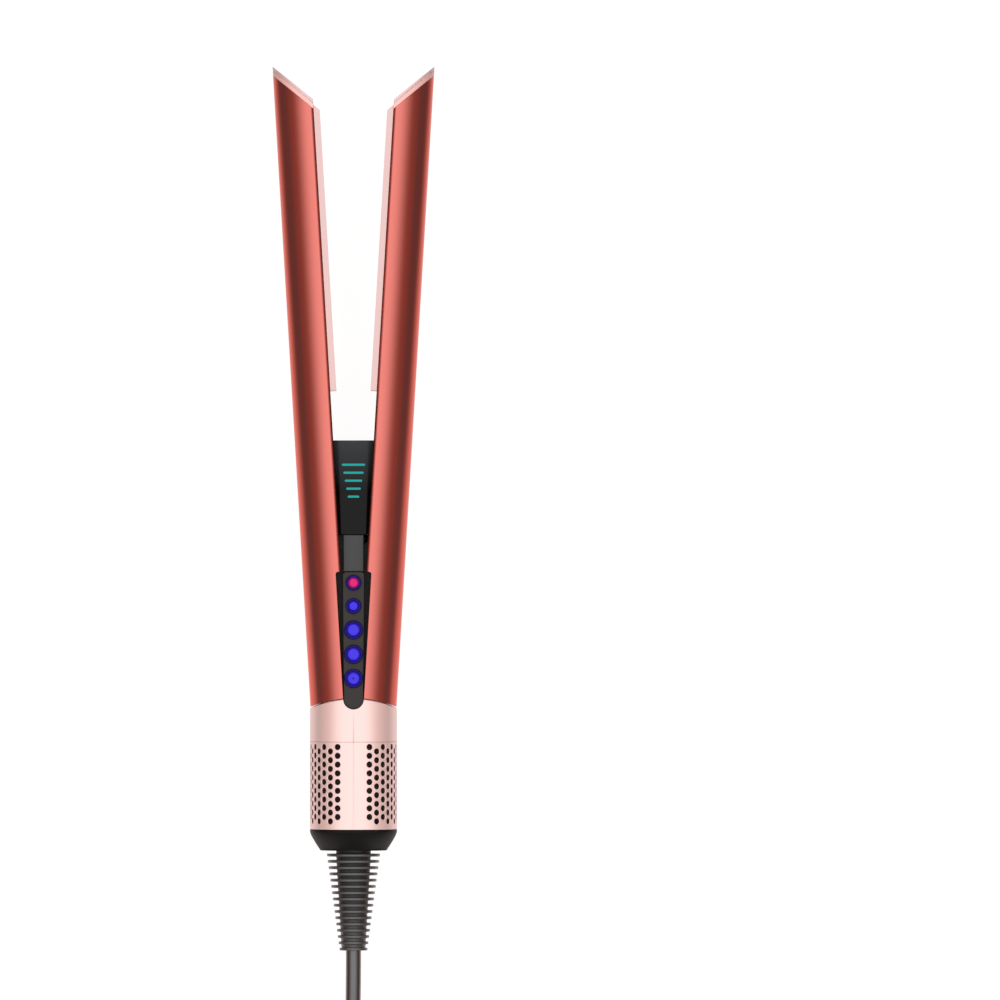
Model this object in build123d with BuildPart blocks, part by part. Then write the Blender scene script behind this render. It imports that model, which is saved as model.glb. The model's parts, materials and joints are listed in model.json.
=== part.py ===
"""Air-blowing hair straightener (flat iron), modelled open, lying on its back.

The tool is drawn in its own frame in millimetres: the hinge axis runs along Z through
the origin, the arms point along +Y, and the button side faces +Z.  Each finished piece
is then tilted and lifted onto the table, as the tool lies on its hand guards and base.
"""
from build123d import *
from math import asin, atan2, cos, degrees, hypot, pi, radians, sin, tan
import os

# ---- driving dimensions -------------------------------------------------------------
SECTION_POWER = 2.4          # exponent of the superellipse that every oval follows

ARM_HALF_WIDTH = 18.7        # closed pair, across X
ARM_HALF_DEPTH = 22.8        # closed pair, across Z
ARM_MIDDLE = 0.2             # Z of the arm oval's centre
ARM_TIP = 252.8              # Y of the outer end of the tip, arms closed
ARM_FOOT = -10.3             # Y of the shell's lower edge at the seam
ARM_FOOT_DROP = 3.0          # the lower edge falls this much towards the sides
SHELL_WALL = 1.8
SHELL_EDGE = 2.7             # X of the shell's inner edge, arms closed
SHELL_TRIM = -15.1           # Z where the shell's back edge ends, above the guard
OPEN_ANGLE = 3.4             # each arm, from closed to open

TIP_SLOPE = tan(radians(43))
LID_DROP = 1.6               # height of the tip lid, and of the rim under it
RIM_DROP = 2.4
PLATE_TIP_DROP = 2.2         # the outlet plate ends this much lower than the lid

PLATE_FACE = 0.15            # X of the outlet plate's working face, arms closed
PLATE_FOOT = 117.0
PLATE_FRONT = 22.2
FLANGE_MIDDLE = -12.0
FLANGE_HALF_WIDTH = 15.1
FLANGE_HALF_DEPTH = 17.3
FLANGE_WALL = 3.0
SLOT_LENGTH = 15.0
SLOT_HEIGHT = 1.6
SLOT_PITCH = 18.0
SLOT_COUNT = 6
SLOT_ROWS = (7.0, -8.0)

GUARD_TOP_Z = -9.6           # the guard sits behind this level
GUARD_RIM_X = 16.0
GUARD_RIM_RADIUS = 22.6
GUARD_RIM_CENTRE = (109.7, -4.6)
GUARD_BASE_X = 2.7
GUARD_BASE_RADIUS = 25.1
GUARD_BASE_CENTRE = (110.8, -10.4)
DISH_RADIUS = 24.3
DISH_DEPTH_X = 4.6           # X of the bottom of the scooped recess
INLAY_THICKNESS = 1.5
INLAY_SETBACK = 0.7          # the inlay ends this far inside the rim
INLAY_WALL_SLOPE = 0.3

BASE_HALF_WIDTH = 18.05
BASE_HALF_DEPTH = 23.4
COLLAR_TOP_HALF_DEPTH = 22.4
COLLAR_TOP = -10.9
COLLAR_SADDLE_RADIUS = 42.0
COLLAR_FOOT = -28.6
COLLAR_WALL = 1.8

CAGE_TOP = -28.9
CAGE_FOOT = -65.1
CAGE_WALL = 1.6
HOLE_DIAMETER = 2.5
HOLE_ROWS = 9
HOLE_ROW_PITCH = 3.62
HOLE_TOP_ROW = -30.9
CAGE_FACETS = 40             # one column of holes on each flat
PLAIN_FACETS = 1             # flats left plain on each side of the front and back

CAP_FOOT = -74.0
CAP_LIP = 1.2
CAP_FOOT_RADIUS = 14.1
CAP_HOLE_RADIUS = 11.5

RELIEF_TOP = CAGE_FOOT
RELIEF_FIRST_FIN = -75.4      # Y of the top of the first fin
RELIEF_END = -115.5
RELIEF_NECK_FOOT = -73.7
RELIEF_NECK_RADIUS = 11.0
RELIEF_FINS = 16
FIN_THICKNESS = 1.1
FIN_RADIUS_TOP = 11.0
FIN_RADIUS_END = 5.8
CORE_RADIUS_TOP = 7.2
CORE_RADIUS_END = 4.8

PANEL_TOP = 41.5
PANEL_FOOT = -15.1
PANEL_HALF_WIDTH = 4.35
PANEL_FRONT = 21.0
PANEL_BACK = 18.4
NOTCH_HALF_WIDTH = 5.0
NOTCH_TOP = 42.0
STEM_TOP = 56.9
BUTTONS = (                  # name, Y of the centre, dome radius
    ("mode_button", 37.1, 3.05),
    ("cool_button", 27.5, 3.05),
    ("heat_button", 17.6, 3.75),
    ("airflow_button", 7.5, 3.75),
    ("power_button", -2.5, 3.75),
)
BUTTON_GAP = 0.7
BUTTON_DOME = 1.3
BUTTON_STEM_RADIUS = 2.2
BUTTON_CLEARANCE = 0.3

DISPLAY_FOOT = 57.1
DISPLAY_TOP = 96.1
DISPLAY_HALF_WIDTH = 8.5
GLASS_SETBACK = 1.0          # glass front behind the shell's inner face
GLASS_THICKNESS = 1.2

CARRIER_BACK = 14.7
CARRIER_FRONT = 17.3

PIN_RADIUS = 2.0
PIN_FIT = 0.05
LUG_RADIUS = 5.0
LUG_GAP = 0.3
KNUCKLE = 5.7
BASE_LUG = 2.4
STRAP_INNER = 13.0
STRAP_OUTER = 14.6
STRAP_TOP = 15.4

DUCT_FOOT = 15.5
DUCT_TOP = 115.0
DUCT_WALL = 1.2

TRACK_BACK = -20.0
TRACK_FRONT = -17.8
TRACK_TOP = 12.0
SLIDER_TOP = 4.0
SLIDER_FOOT = -5.4
SLIDER_BACK = -24.0

DECK_TOP = -26.0
POST_X = 7.4
POST_Z = 15.2
MOTOR_RADIUS = 13.5
MOTOR_TOP = -31.0
MOTOR_FOOT = -58.0
IMPELLER_RADIUS = 11.6

CORD_DIAMETER = 6.4
HANK_STRANDS = 3             # side by side in each layer of the tied hank
HANK_LAYERS = 2
HANK_PITCH = 6.6
HANK_FOLD_RADIUS = 19.2      # innermost strand at the folds
HANK_WAIST = 4.0             # innermost strand at the tie
HANK_REACH = 64.0            # middle of the hank to the middle of each fold
HANK_DISTANCE = 205.0        # strain relief to the middle of the hank

EPS = 0.05
PARTS = "parts"

# ---- how the tool lies --------------------------------------------------------------
LIP_Y = CAGE_FOOT - CAP_LIP
GUARD_REACH = GUARD_BASE_CENTRE[0] - LIP_Y
GUARD_RISE = GUARD_BASE_CENTRE[1] + BASE_HALF_DEPTH
REST_TILT = asin(GUARD_BASE_RADIUS / hypot(GUARD_REACH, GUARD_RISE)) - atan2(GUARD_RISE, GUARD_REACH)
REST_LIFT = BASE_HALF_DEPTH * cos(REST_TILT) - LIP_Y * sin(REST_TILT)
REST_SHIFT = -67.7           # brings the origin midway along the tool
LAY = Pos(0, REST_SHIFT, REST_LIFT) * Rot(X=degrees(REST_TILT))
OPEN_RIGHT = Rot(Z=-OPEN_ANGLE)


def level(y):
    """Section plane at height y: local axes are X and Z, and extrusions run to -Y."""
    return Plane.XZ.offset(-y)


def slope_plane(drop):
    """Plane of the slanted tip, this much below its outer corner."""
    origin = (ARM_HALF_WIDTH, ARM_TIP - drop, 0)
    return Plane(origin=origin, x_dir=(0, 0, 1), z_dir=(-TIP_SLOPE, 1, 0))


def oval(half_width, half_depth, middle=0.0, steps=28):
    """Closed superellipse line around (0, middle)."""
    power = 2 / SECTION_POWER
    points = []
    for step in range(steps):
        angle = 2 * pi * (step + 0.5) / steps
        across, along = cos(angle), sin(angle)
        x = half_width * abs(across) ** power * (1 if across > 0 else -1)
        z = half_depth * abs(along) ** power * (1 if along > 0 else -1)
        points.append((x, middle + z))
    return Spline(*points, periodic=True)


def arm_oval(inset=0.0):
    return oval(ARM_HALF_WIDTH - inset, ARM_HALF_DEPTH - inset, ARM_MIDDLE)


def base_oval(inset=0.0):
    return oval(BASE_HALF_WIDTH - inset, BASE_HALF_DEPTH - inset)


def keep(piece, name, place=None):
    """Lay one finished piece on the table, name it and write its file."""
    laid = LAY * (place * piece if place else piece)
    laid.label = name
    export_step(laid, f"{PARTS}/{name}.step")
    return laid


def keep_pair(piece, name):
    """Write a closed right-hand arm piece, opened, and its mirror image."""
    opened = OPEN_RIGHT * piece
    keep(opened, f"right_{name}")
    keep(mirror(opened, about=Plane.YZ), f"left_{name}")


# ---- hand guard ---------------------------------------------------------------------
def guard_blank():
    """Flared, filled form of the guard, before the recess is scooped out."""
    with BuildPart() as blank:
        with BuildSketch(Plane.YZ.offset(GUARD_BASE_X)):
            with Locations(GUARD_BASE_CENTRE):
                Circle(GUARD_BASE_RADIUS)
        with BuildSketch(Plane.YZ.offset(GUARD_RIM_X)):
            with Locations(GUARD_RIM_CENTRE):
                Circle(GUARD_RIM_RADIUS)
        loft(ruled=True)
        split(bisect_by=Plane.XY.offset(GUARD_TOP_Z), keep=Keep.BOTTOM)
    return blank.part


def guard_clearance():
    """The guard's form, carried on outwards: what the shell is cut away by."""
    with BuildPart() as cut:
        add(guard_blank())
        with BuildSketch(Plane.YZ.offset(GUARD_RIM_X)):
            with Locations(GUARD_RIM_CENTRE):
                Circle(GUARD_RIM_RADIUS)
        extrude(amount=ARM_HALF_WIDTH)
        split(bisect_by=Plane.XY.offset(GUARD_TOP_Z), keep=Keep.BOTTOM)
    return cut.part


def dish_centre():
    return (DISH_DEPTH_X + DISH_RADIUS, *GUARD_RIM_CENTRE)


def hand_guard():
    with BuildPart() as guard:
        add(guard_blank())
        with Locations(dish_centre()):
            Sphere(DISH_RADIUS, mode=Mode.SUBTRACT)
    return guard.part


def guard_scoop():
    """Hollow of the thumb rest, behind a front wall that leans in with depth."""
    lean = Plane(origin=(GUARD_RIM_X + 1, 0, GUARD_TOP_Z), x_dir=(0, 1, 0),
                 z_dir=(-INLAY_WALL_SLOPE, 0, 1))
    with BuildPart() as scoop:
        with Locations(dish_centre()):
            Sphere(DISH_RADIUS - INLAY_THICKNESS)
        split(bisect_by=lean, keep=Keep.BOTTOM)
    return scoop.part


def guard_inlay():
    with BuildPart() as inlay:
        with Locations(dish_centre()):
            Sphere(DISH_RADIUS)
        add(guard_scoop(), mode=Mode.SUBTRACT)
        add(guard_blank(), mode=Mode.INTERSECT)
        split(bisect_by=Plane.YZ.offset(GUARD_RIM_X - INLAY_SETBACK), keep=Keep.BOTTOM)
    return inlay.part


# ---- arms, drawn closed and on the right-hand side ----------------------------------
def foot_cut():
    """Everything below the arm's arched lower edge."""
    half = ARM_HALF_WIDTH
    radius = (half ** 2 + ARM_FOOT_DROP ** 2) / (2 * ARM_FOOT_DROP)
    with BuildPart() as cut:
        with BuildSketch(Plane.XY.offset(-2 * ARM_HALF_DEPTH)):
            with Locations((0, ARM_FOOT - 2 * half)):
                Rectangle(4 * half, 4 * half)
            with Locations((0, ARM_FOOT - radius)):
                Circle(radius, mode=Mode.INTERSECT)
        extrude(amount=4 * ARM_HALF_DEPTH)
    return cut.part


def arm_shell():
    below = ARM_FOOT - 2 * ARM_FOOT_DROP
    with BuildPart() as shell:
        with BuildSketch(level(ARM_TIP)):
            with BuildLine():
                arm_oval()
            make_face()
            with BuildLine():
                arm_oval(SHELL_WALL)
            make_face(mode=Mode.SUBTRACT)
            with Locations((SHELL_EDGE, 0)):
                Rectangle(2 * ARM_HALF_WIDTH, 3 * ARM_HALF_DEPTH, align=(Align.MAX, Align.CENTER),
                          mode=Mode.SUBTRACT)
        extrude(amount=ARM_TIP - below)
        with BuildSketch(Plane.XY.offset(PANEL_BACK - SHELL_WALL)):
            with Locations((0, (NOTCH_TOP + below) / 2)):
                Rectangle(2 * NOTCH_HALF_WIDTH, NOTCH_TOP - below)
        extrude(amount=ARM_HALF_DEPTH, mode=Mode.SUBTRACT)
        with BuildSketch(Plane.XY.offset(TRACK_FRONT + SHELL_WALL)):
            with Locations((0, (TRACK_TOP + below) / 2)):
                Rectangle(2 * NOTCH_HALF_WIDTH, TRACK_TOP + 1 - below)
        extrude(amount=-ARM_HALF_DEPTH, mode=Mode.SUBTRACT)
        with BuildSketch(Plane.YZ):
            with Locations((GUARD_RIM_CENTRE[0], SHELL_TRIM)):
                Rectangle(ARM_TIP, ARM_HALF_DEPTH, align=(Align.MIN, Align.MAX))
        extrude(amount=2 * ARM_HALF_WIDTH, mode=Mode.SUBTRACT)
        add(guard_clearance(), mode=Mode.SUBTRACT)
        add(foot_cut(), mode=Mode.SUBTRACT)
        split(bisect_by=slope_plane(LID_DROP + RIM_DROP), keep=Keep.BOTTOM)
    return shell.part


def tip_slab(upper, lower):
    """Slice of the arm's full outline between two slanted planes."""
    with BuildPart() as slab:
        with BuildSketch(level(ARM_TIP)):
            with BuildLine():
                arm_oval()
            make_face()
            with Locations((SHELL_EDGE, SHELL_TRIM)):
                Rectangle(ARM_HALF_WIDTH, 2 * ARM_HALF_DEPTH, align=(Align.MIN, Align.MIN),
                          mode=Mode.INTERSECT)
        extrude(amount=2 * ARM_HALF_WIDTH)
        split(bisect_by=slope_plane(upper), keep=Keep.BOTTOM)
        split(bisect_by=slope_plane(lower), keep=Keep.TOP)
    return slab.part


def flange_face(inset, top_z, mode=Mode.ADD):
    """Half ellipse of the flange, right of the working face and behind top_z."""
    width = FLANGE_HALF_WIDTH - inset
    depth = FLANGE_HALF_DEPTH - inset
    with BuildSketch(mode=Mode.PRIVATE) as face:
        with Locations((0, FLANGE_MIDDLE)):
            Ellipse(width, depth)
        with Locations((PLATE_FACE, top_z)):
            Rectangle(2 * width, 2 * depth, align=(Align.MIN, Align.MAX), mode=Mode.INTERSECT)
    add(face.sketch, mode=mode)


def outlet_plate():
    lip_top = SHELL_TRIM + 4
    length = ARM_TIP - PLATE_FOOT
    with BuildPart() as plate:
        with BuildSketch(level(ARM_TIP)):
            flange_face(0, SHELL_TRIM - EPS)
            flange_face(FLANGE_WALL - 0.8, lip_top)
            with Locations((PLATE_FACE, PLATE_FRONT)):
                Rectangle(SHELL_EDGE - EPS - PLATE_FACE, PLATE_FRONT - SHELL_TRIM + 5,
                          align=(Align.MIN, Align.MAX))
        extrude(amount=length)
        split(bisect_by=slope_plane(PLATE_TIP_DROP), keep=Keep.BOTTOM)
        add(plate_cavity(lip_top), mode=Mode.SUBTRACT)
        add(tip_slab(0, LID_DROP + RIM_DROP), mode=Mode.SUBTRACT)
        with BuildSketch(Plane.YZ):
            for row in SLOT_ROWS:
                with Locations((PLATE_FOOT + 12 + SLOT_PITCH * (SLOT_COUNT - 1) / 2, row)):
                    with GridLocations(SLOT_PITCH, 1, SLOT_COUNT, 1):
                        SlotOverall(SLOT_LENGTH, SLOT_HEIGHT)
        extrude(amount=SHELL_EDGE, mode=Mode.SUBTRACT)
        add(guard_clearance(), mode=Mode.SUBTRACT)
    return plate.part


def plate_cavity(lip_top):
    """Air space inside the flange, closed by a wall under the tip."""
    with BuildPart() as cavity:
        with BuildSketch(level(ARM_TIP)):
            with Locations((0, FLANGE_MIDDLE)):
                Ellipse(FLANGE_HALF_WIDTH - FLANGE_WALL, FLANGE_HALF_DEPTH - FLANGE_WALL)
            with Locations((SHELL_EDGE - EPS, lip_top + EPS)):
                Rectangle(FLANGE_HALF_WIDTH, 2 * FLANGE_HALF_DEPTH, align=(Align.MIN, Align.MAX),
                          mode=Mode.INTERSECT)
        extrude(amount=ARM_TIP)
        split(bisect_by=slope_plane(PLATE_TIP_DROP + FLANGE_WALL), keep=Keep.BOTTOM)
    return cavity.part


def air_duct():
    """Rectangular channel from the hinge up to the outlet plate."""
    inner, outer, back, front = 3.4, 14.2, -9.0, 11.5
    width, depth = outer - inner, front - back
    with BuildPart() as duct:
        with BuildSketch(level(DUCT_TOP)):
            with Locations(((inner + outer) / 2, (front + back) / 2)):
                RectangleRounded(width, depth, 2.5)
                RectangleRounded(width - 2 * DUCT_WALL, depth - 2 * DUCT_WALL, 1.5,
                                 mode=Mode.SUBTRACT)
        extrude(amount=DUCT_TOP - DUCT_FOOT)
    return duct.part


def inner_cover():
    """Flat panel over the arm's open side, cut back where the display comes inside."""
    foot, high_foot, front, back = 15.0, 98.0, 11.5, -19.8
    thickness = 0.65
    with BuildPart() as cover:
        with BuildSketch(Plane.YZ.offset(SHELL_EDGE)):
            with Locations((foot, back)):
                Rectangle(PLATE_FOOT - EPS - foot, front - back, align=(Align.MIN, Align.MIN))
            with Locations((high_foot, back)):
                Rectangle(PLATE_FOOT - EPS - high_foot, -2 * back + 2 * ARM_MIDDLE,
                          align=(Align.MIN, Align.MIN))
        extrude(amount=thickness)
        add(guard_clearance(), mode=Mode.SUBTRACT)
    return cover.part


def heater():
    """Heater card with a ladder of resistance strips on each face."""
    card_foot, card_top = 34.0, 104.0
    strip_pitch, strips = 8.0, 8
    with BuildPart() as card:
        with BuildSketch(level(card_top)):
            with Locations((8.8, 1.25)):
                Rectangle(1.0, 17.5)
        extrude(amount=card_top - card_foot)
        with Locations((8.8, (card_foot + card_top) / 2, 1.25)):
            with GridLocations(1, strip_pitch, 1, strips):
                Box(6.0, 2.5, 15.0)
    return card.part


def knuckle_levels(side):
    """Z ranges of one arm's two hinge knuckles; the arms' knuckles take turns."""
    start = -2 * (KNUCKLE + LUG_GAP) + LUG_GAP / 2
    first = 0 if side == "right" else 1
    return [start + (first + 2 * n) * (KNUCKLE + LUG_GAP) for n in range(2)]


def hinge_bracket(side):
    """Steel bracket: two knuckles on the pin, joined by an upright strap."""
    reach = 2 * (KNUCKLE + LUG_GAP) - LUG_GAP / 2
    with BuildPart() as bracket:
        for start in knuckle_levels(side):
            with BuildSketch(Plane.XY.offset(start)):
                Circle(LUG_RADIUS)
                with Locations((0, 0)):
                    Rectangle(STRAP_OUTER, 2 * LUG_RADIUS, align=(Align.MIN, Align.CENTER))
                Circle(PIN_RADIUS + PIN_FIT, mode=Mode.SUBTRACT)
            extrude(amount=KNUCKLE)
        with BuildSketch(Plane.YZ.offset(STRAP_INNER)):
            with Locations((-LUG_RADIUS, 0)):
                Rectangle(STRAP_TOP + LUG_RADIUS, 2 * reach, align=(Align.MIN, Align.CENTER))
        extrude(amount=STRAP_OUTER - STRAP_INNER)
    return bracket.part


def build_arms():
    keep_pair(arm_shell(), "arm_shell")
    keep_pair(outlet_plate(), "outlet_plate")
    keep_pair(tip_slab(0, LID_DROP), "tip_lid")
    keep_pair(tip_slab(LID_DROP, LID_DROP + RIM_DROP), "tip_rim")
    keep_pair(hand_guard(), "hand_guard")
    keep_pair(guard_inlay(), "guard_inlay")
    keep_pair(air_duct(), "air_duct")
    keep_pair(inner_cover(), "inner_cover")
    keep_pair(heater(), "heater")
    keep(OPEN_RIGHT * hinge_bracket("right"), "right_hinge_bracket")
    left = mirror(OPEN_RIGHT * hinge_bracket("left"), about=Plane.YZ)
    keep(left, "left_hinge_bracket")


# ---- base ---------------------------------------------------------------------------
def saddle_cut():
    """Everything above the collar's arched upper edge."""
    wide = 4 * BASE_HALF_WIDTH
    with BuildPart() as cut:
        with BuildSketch(Plane.XY.offset(-2 * BASE_HALF_DEPTH)):
            with Locations((0, COLLAR_TOP)):
                Rectangle(wide, wide)
            with Locations((0, COLLAR_TOP - COLLAR_SADDLE_RADIUS)):
                Circle(COLLAR_SADDLE_RADIUS, mode=Mode.SUBTRACT)
        extrude(amount=4 * BASE_HALF_DEPTH)
    return cut.part


def collar_form(inset):
    """Filled collar, slightly slimmer at its top."""
    with BuildPart() as form:
        with BuildSketch(level(COLLAR_TOP)):
            with BuildLine():
                oval(BASE_HALF_WIDTH - inset, COLLAR_TOP_HALF_DEPTH - inset)
            make_face()
        with BuildSketch(level(COLLAR_FOOT)):
            with BuildLine():
                base_oval(inset)
            make_face()
        loft(ruled=True)
    return form.part


def collar():
    with BuildPart() as ring:
        add(collar_form(0))
        add(collar_form(COLLAR_WALL), mode=Mode.SUBTRACT)
        add(saddle_cut(), mode=Mode.SUBTRACT)
        with BuildSketch(Plane.XY.offset(PANEL_BACK - 1)):
            with Locations((0, PANEL_TOP)):
                Rectangle(2 * (PANEL_HALF_WIDTH + LUG_GAP), PANEL_TOP - PANEL_FOOT + LUG_GAP,
                          align=(Align.CENTER, Align.MAX))
        extrude(amount=BASE_HALF_DEPTH, mode=Mode.SUBTRACT)
    return ring.part


def base_frame():
    """Deck under the collar, end plate, four posts, and the two hinge lugs."""
    post_radius = 1.4
    lug_start = 2 * (KNUCKLE + LUG_GAP)
    with BuildPart() as frame:
        with BuildSketch(level(DECK_TOP)):
            with BuildLine():
                base_oval(COLLAR_WALL + 0.4)
            make_face()
            Circle(MOTOR_RADIUS - 2.5, mode=Mode.SUBTRACT)
        extrude(amount=DECK_TOP - COLLAR_FOOT)
        with BuildSketch(level(CAGE_FOOT + 2)):
            with BuildLine():
                base_oval(CAGE_WALL + 0.8)
            make_face()
        extrude(amount=2.0)
        with BuildSketch(level(COLLAR_FOOT)):
            with GridLocations(2 * POST_X, 2 * POST_Z, 2, 2):
                Circle(post_radius)
        extrude(amount=COLLAR_FOOT - CAGE_FOOT - 2)
        for start in (lug_start, -lug_start - BASE_LUG):
            with BuildSketch(Plane.XY.offset(start)):
                Circle(LUG_RADIUS)
                Rectangle(2 * LUG_RADIUS, -DECK_TOP, align=(Align.CENTER, Align.MAX))
                Circle(PIN_RADIUS + PIN_FIT / 5, mode=Mode.SUBTRACT)
            extrude(amount=BASE_LUG)
    return frame.part


def hinge_pin():
    length = 2 * (2 * (KNUCKLE + LUG_GAP) + BASE_LUG)
    with BuildPart() as pin:
        Cylinder(PIN_RADIUS, length)
        chamfer(pin.edges().filter_by(GeomType.CIRCLE), 0.3)
    return pin.part


def arm_spring():
    """Bowed leaf spring between the two brackets, drawn at its closed length."""
    half, foot, bow = 12.4, 9.0, 3.0
    thickness, depth = 0.6, 6.0
    with BuildPart() as spring:
        with BuildSketch(Plane.XY.offset(-depth / 2)):
            with BuildLine():
                ThreePointArc((-half, foot), (0, foot + bow), (half, foot))
                Line((half, foot), (half, foot - thickness))
                ThreePointArc((half, foot - thickness), (0, foot + bow - thickness),
                              (-half, foot - thickness))
                Line((-half, foot - thickness), (-half, foot))
            make_face()
        extrude(amount=depth)
    return spring.part


def control_carrier():
    """Stem that holds the buttons and the display, with a back plate that closes the gaps."""
    half = 3.6
    stem_half, stem_front = 4.15, 20.0
    plate_half, plate_foot, plate_thickness = 8.0, -10.0, 1.0
    with BuildPart() as carrier:
        with BuildSketch(Plane.XY.offset(CARRIER_BACK)):
            with Locations((0, STEM_TOP)):
                Rectangle(2 * half, STEM_TOP - DECK_TOP, align=(Align.CENTER, Align.MAX))
        extrude(amount=CARRIER_FRONT - CARRIER_BACK)
        with BuildSketch(Plane.XY.offset(CARRIER_BACK)):
            with Locations((0, STEM_TOP)):
                Rectangle(2 * stem_half, STEM_TOP - PANEL_TOP - 0.3, align=(Align.CENTER, Align.MAX))
        extrude(amount=stem_front - CARRIER_BACK)
        front = carrier.faces().sort_by(Axis.Z)[-1]
        chamfer(front.edges().filter_by(Axis.Y), 0.6)
        with BuildSketch(Plane.XY.offset(CARRIER_BACK)):
            with Locations((0, STEM_TOP)):
                Rectangle(2 * plate_half, STEM_TOP - plate_foot, align=(Align.CENTER, Align.MAX))
        extrude(amount=plate_thickness)
    return carrier.part


def button_board():
    with BuildPart() as board:
        with BuildSketch(Plane.XY.offset(CARRIER_FRONT)):
            with Locations((0, 14.0)):
                Rectangle(6.6, 53.0)
        extrude(amount=1.0)
        with Locations(*[(0, y, CARRIER_FRONT + 0.55) for _, y, _ in BUTTONS]):
            Cylinder(1.4, 1.1)
    return board.part


def control_panel():
    """Tongue-shaped plate with a stem hole for each button."""
    round_end = 4.0
    with BuildPart() as panel:
        with BuildSketch(Plane.XY.offset(PANEL_BACK)):
            with BuildLine():
                Line((PANEL_HALF_WIDTH, PANEL_TOP), (round_end, PANEL_FOOT + round_end))
                ThreePointArc((round_end, PANEL_FOOT + round_end), (0, PANEL_FOOT),
                              (-round_end, PANEL_FOOT + round_end))
                Line((-round_end, PANEL_FOOT + round_end), (-PANEL_HALF_WIDTH, PANEL_TOP))
                Line((-PANEL_HALF_WIDTH, PANEL_TOP), (PANEL_HALF_WIDTH, PANEL_TOP))
            make_face()
        extrude(amount=PANEL_FRONT - PANEL_BACK)
        chamfer(panel.faces().sort_by(Axis.Z)[-1].edges(), 0.5)
        with BuildSketch(Plane.XY.offset(PANEL_BACK)):
            with Locations(*[(0, y) for _, y, _ in BUTTONS]):
                Circle(BUTTON_STEM_RADIUS + BUTTON_CLEARANCE)
        extrude(amount=PANEL_FRONT, mode=Mode.SUBTRACT)
    return panel.part


def button(y, radius):
    """Domed cap over the panel, on a stem that drops through it to the board."""
    cap_back = PANEL_FRONT + BUTTON_GAP
    edge = 0.45
    dome = BUTTON_DOME - edge
    ball = (radius ** 2 + dome ** 2) / (2 * dome)
    stem_back = CARRIER_FRONT + 2.0
    with BuildPart() as cap:
        with BuildSketch(Plane.XY.offset(cap_back)):
            with Locations((0, y)):
                Circle(radius)
        extrude(amount=BUTTON_DOME)
        with Locations((0, y, cap_back + BUTTON_DOME - ball)):
            Sphere(ball, mode=Mode.INTERSECT)
        with BuildSketch(Plane.XY.offset(stem_back)):
            with Locations((0, y)):
                Circle(BUTTON_STEM_RADIUS)
        extrude(amount=cap_back - stem_back + EPS)
    return cap.part


def display_glass():
    """Black window, curved like the inside of the arms that close over it."""
    front = SHELL_WALL + GLASS_SETBACK
    with BuildPart() as glass:
        with BuildSketch(level(DISPLAY_TOP)):
            with BuildLine():
                arm_oval(front)
            make_face()
            with BuildLine():
                arm_oval(front + GLASS_THICKNESS)
            make_face(mode=Mode.SUBTRACT)
            Rectangle(2 * DISPLAY_HALF_WIDTH, 2 * ARM_HALF_DEPTH, align=(Align.CENTER, Align.MIN),
                      mode=Mode.INTERSECT)
        extrude(amount=DISPLAY_TOP - DISPLAY_FOOT)
    return glass.part


def display_housing():
    """Box behind the glass, with a tail screwed under the stem."""
    tail_foot, tail_half, tail_back = 44.0, 3.6, 12.4
    with BuildPart() as housing:
        with BuildSketch(level(DISPLAY_TOP)):
            with BuildLine():
                arm_oval(SHELL_WALL + GLASS_SETBACK + GLASS_THICKNESS + EPS)
            make_face()
            with Locations((0, tail_back)):
                Rectangle(2 * DISPLAY_HALF_WIDTH, ARM_HALF_DEPTH, align=(Align.CENTER, Align.MIN),
                          mode=Mode.INTERSECT)
        extrude(amount=DISPLAY_TOP - DISPLAY_FOOT)
        with BuildSketch(Plane.XY.offset(tail_back)):
            with Locations((0, DISPLAY_FOOT)):
                Rectangle(2 * tail_half, DISPLAY_FOOT - tail_foot, align=(Align.CENTER, Align.MAX))
        extrude(amount=CARRIER_BACK - tail_back - EPS)
    return housing.part


def lock_track():
    """Rear tongue with the slot that the lock slider runs in."""
    half, slot_half = 4.3, 1.5
    slot_foot, slot_top = -3.1, 5.7
    with BuildPart() as track:
        with BuildSketch(Plane.XY.offset(TRACK_BACK)):
            with Locations((0, TRACK_TOP)):
                Rectangle(2 * half, TRACK_TOP - DECK_TOP, align=(Align.CENTER, Align.MAX))
            with Locations((0, (slot_foot + slot_top) / 2)):
                Rectangle(2 * slot_half, slot_top - slot_foot, mode=Mode.SUBTRACT)
        extrude(amount=TRACK_FRONT - TRACK_BACK)
    return track.part


def lock_slider():
    """Thumb slide with a ribbed back, a stem through the slot and a foot inside."""
    half, stem_half, foot_half = 3.4, 1.2, 2.6
    stem_foot, stem_top = -2.8, 1.4
    gap = 0.3
    with BuildPart() as slider:
        with BuildSketch(Plane.XY.offset(SLIDER_BACK)):
            with Locations((0, SLIDER_TOP)):
                Rectangle(2 * half, SLIDER_TOP - SLIDER_FOOT, align=(Align.CENTER, Align.MAX))
        extrude(amount=TRACK_BACK - gap - SLIDER_BACK)
        fillet(slider.edges().filter_by(Axis.Z), 1.5)
        with BuildSketch(Plane.XY.offset(SLIDER_BACK)):
            with Locations((0, (SLIDER_TOP + SLIDER_FOOT) / 2)):
                with GridLocations(1, 1.8, 1, 3):
                    Rectangle(3 * half, 0.7)
        extrude(amount=0.5, mode=Mode.SUBTRACT)
        with BuildSketch(Plane.XY.offset(TRACK_BACK - gap - EPS)):
            with Locations((0, (stem_foot + stem_top) / 2)):
                Rectangle(2 * stem_half, stem_top - stem_foot)
        extrude(amount=TRACK_FRONT - TRACK_BACK + 2 * gap + 2 * EPS)
        with BuildSketch(Plane.XY.offset(TRACK_FRONT + gap)):
            with Locations((0, (stem_foot + stem_top) / 2)):
                Rectangle(2 * foot_half, stem_top - stem_foot)
        extrude(amount=1.2)
    return slider.part


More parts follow.
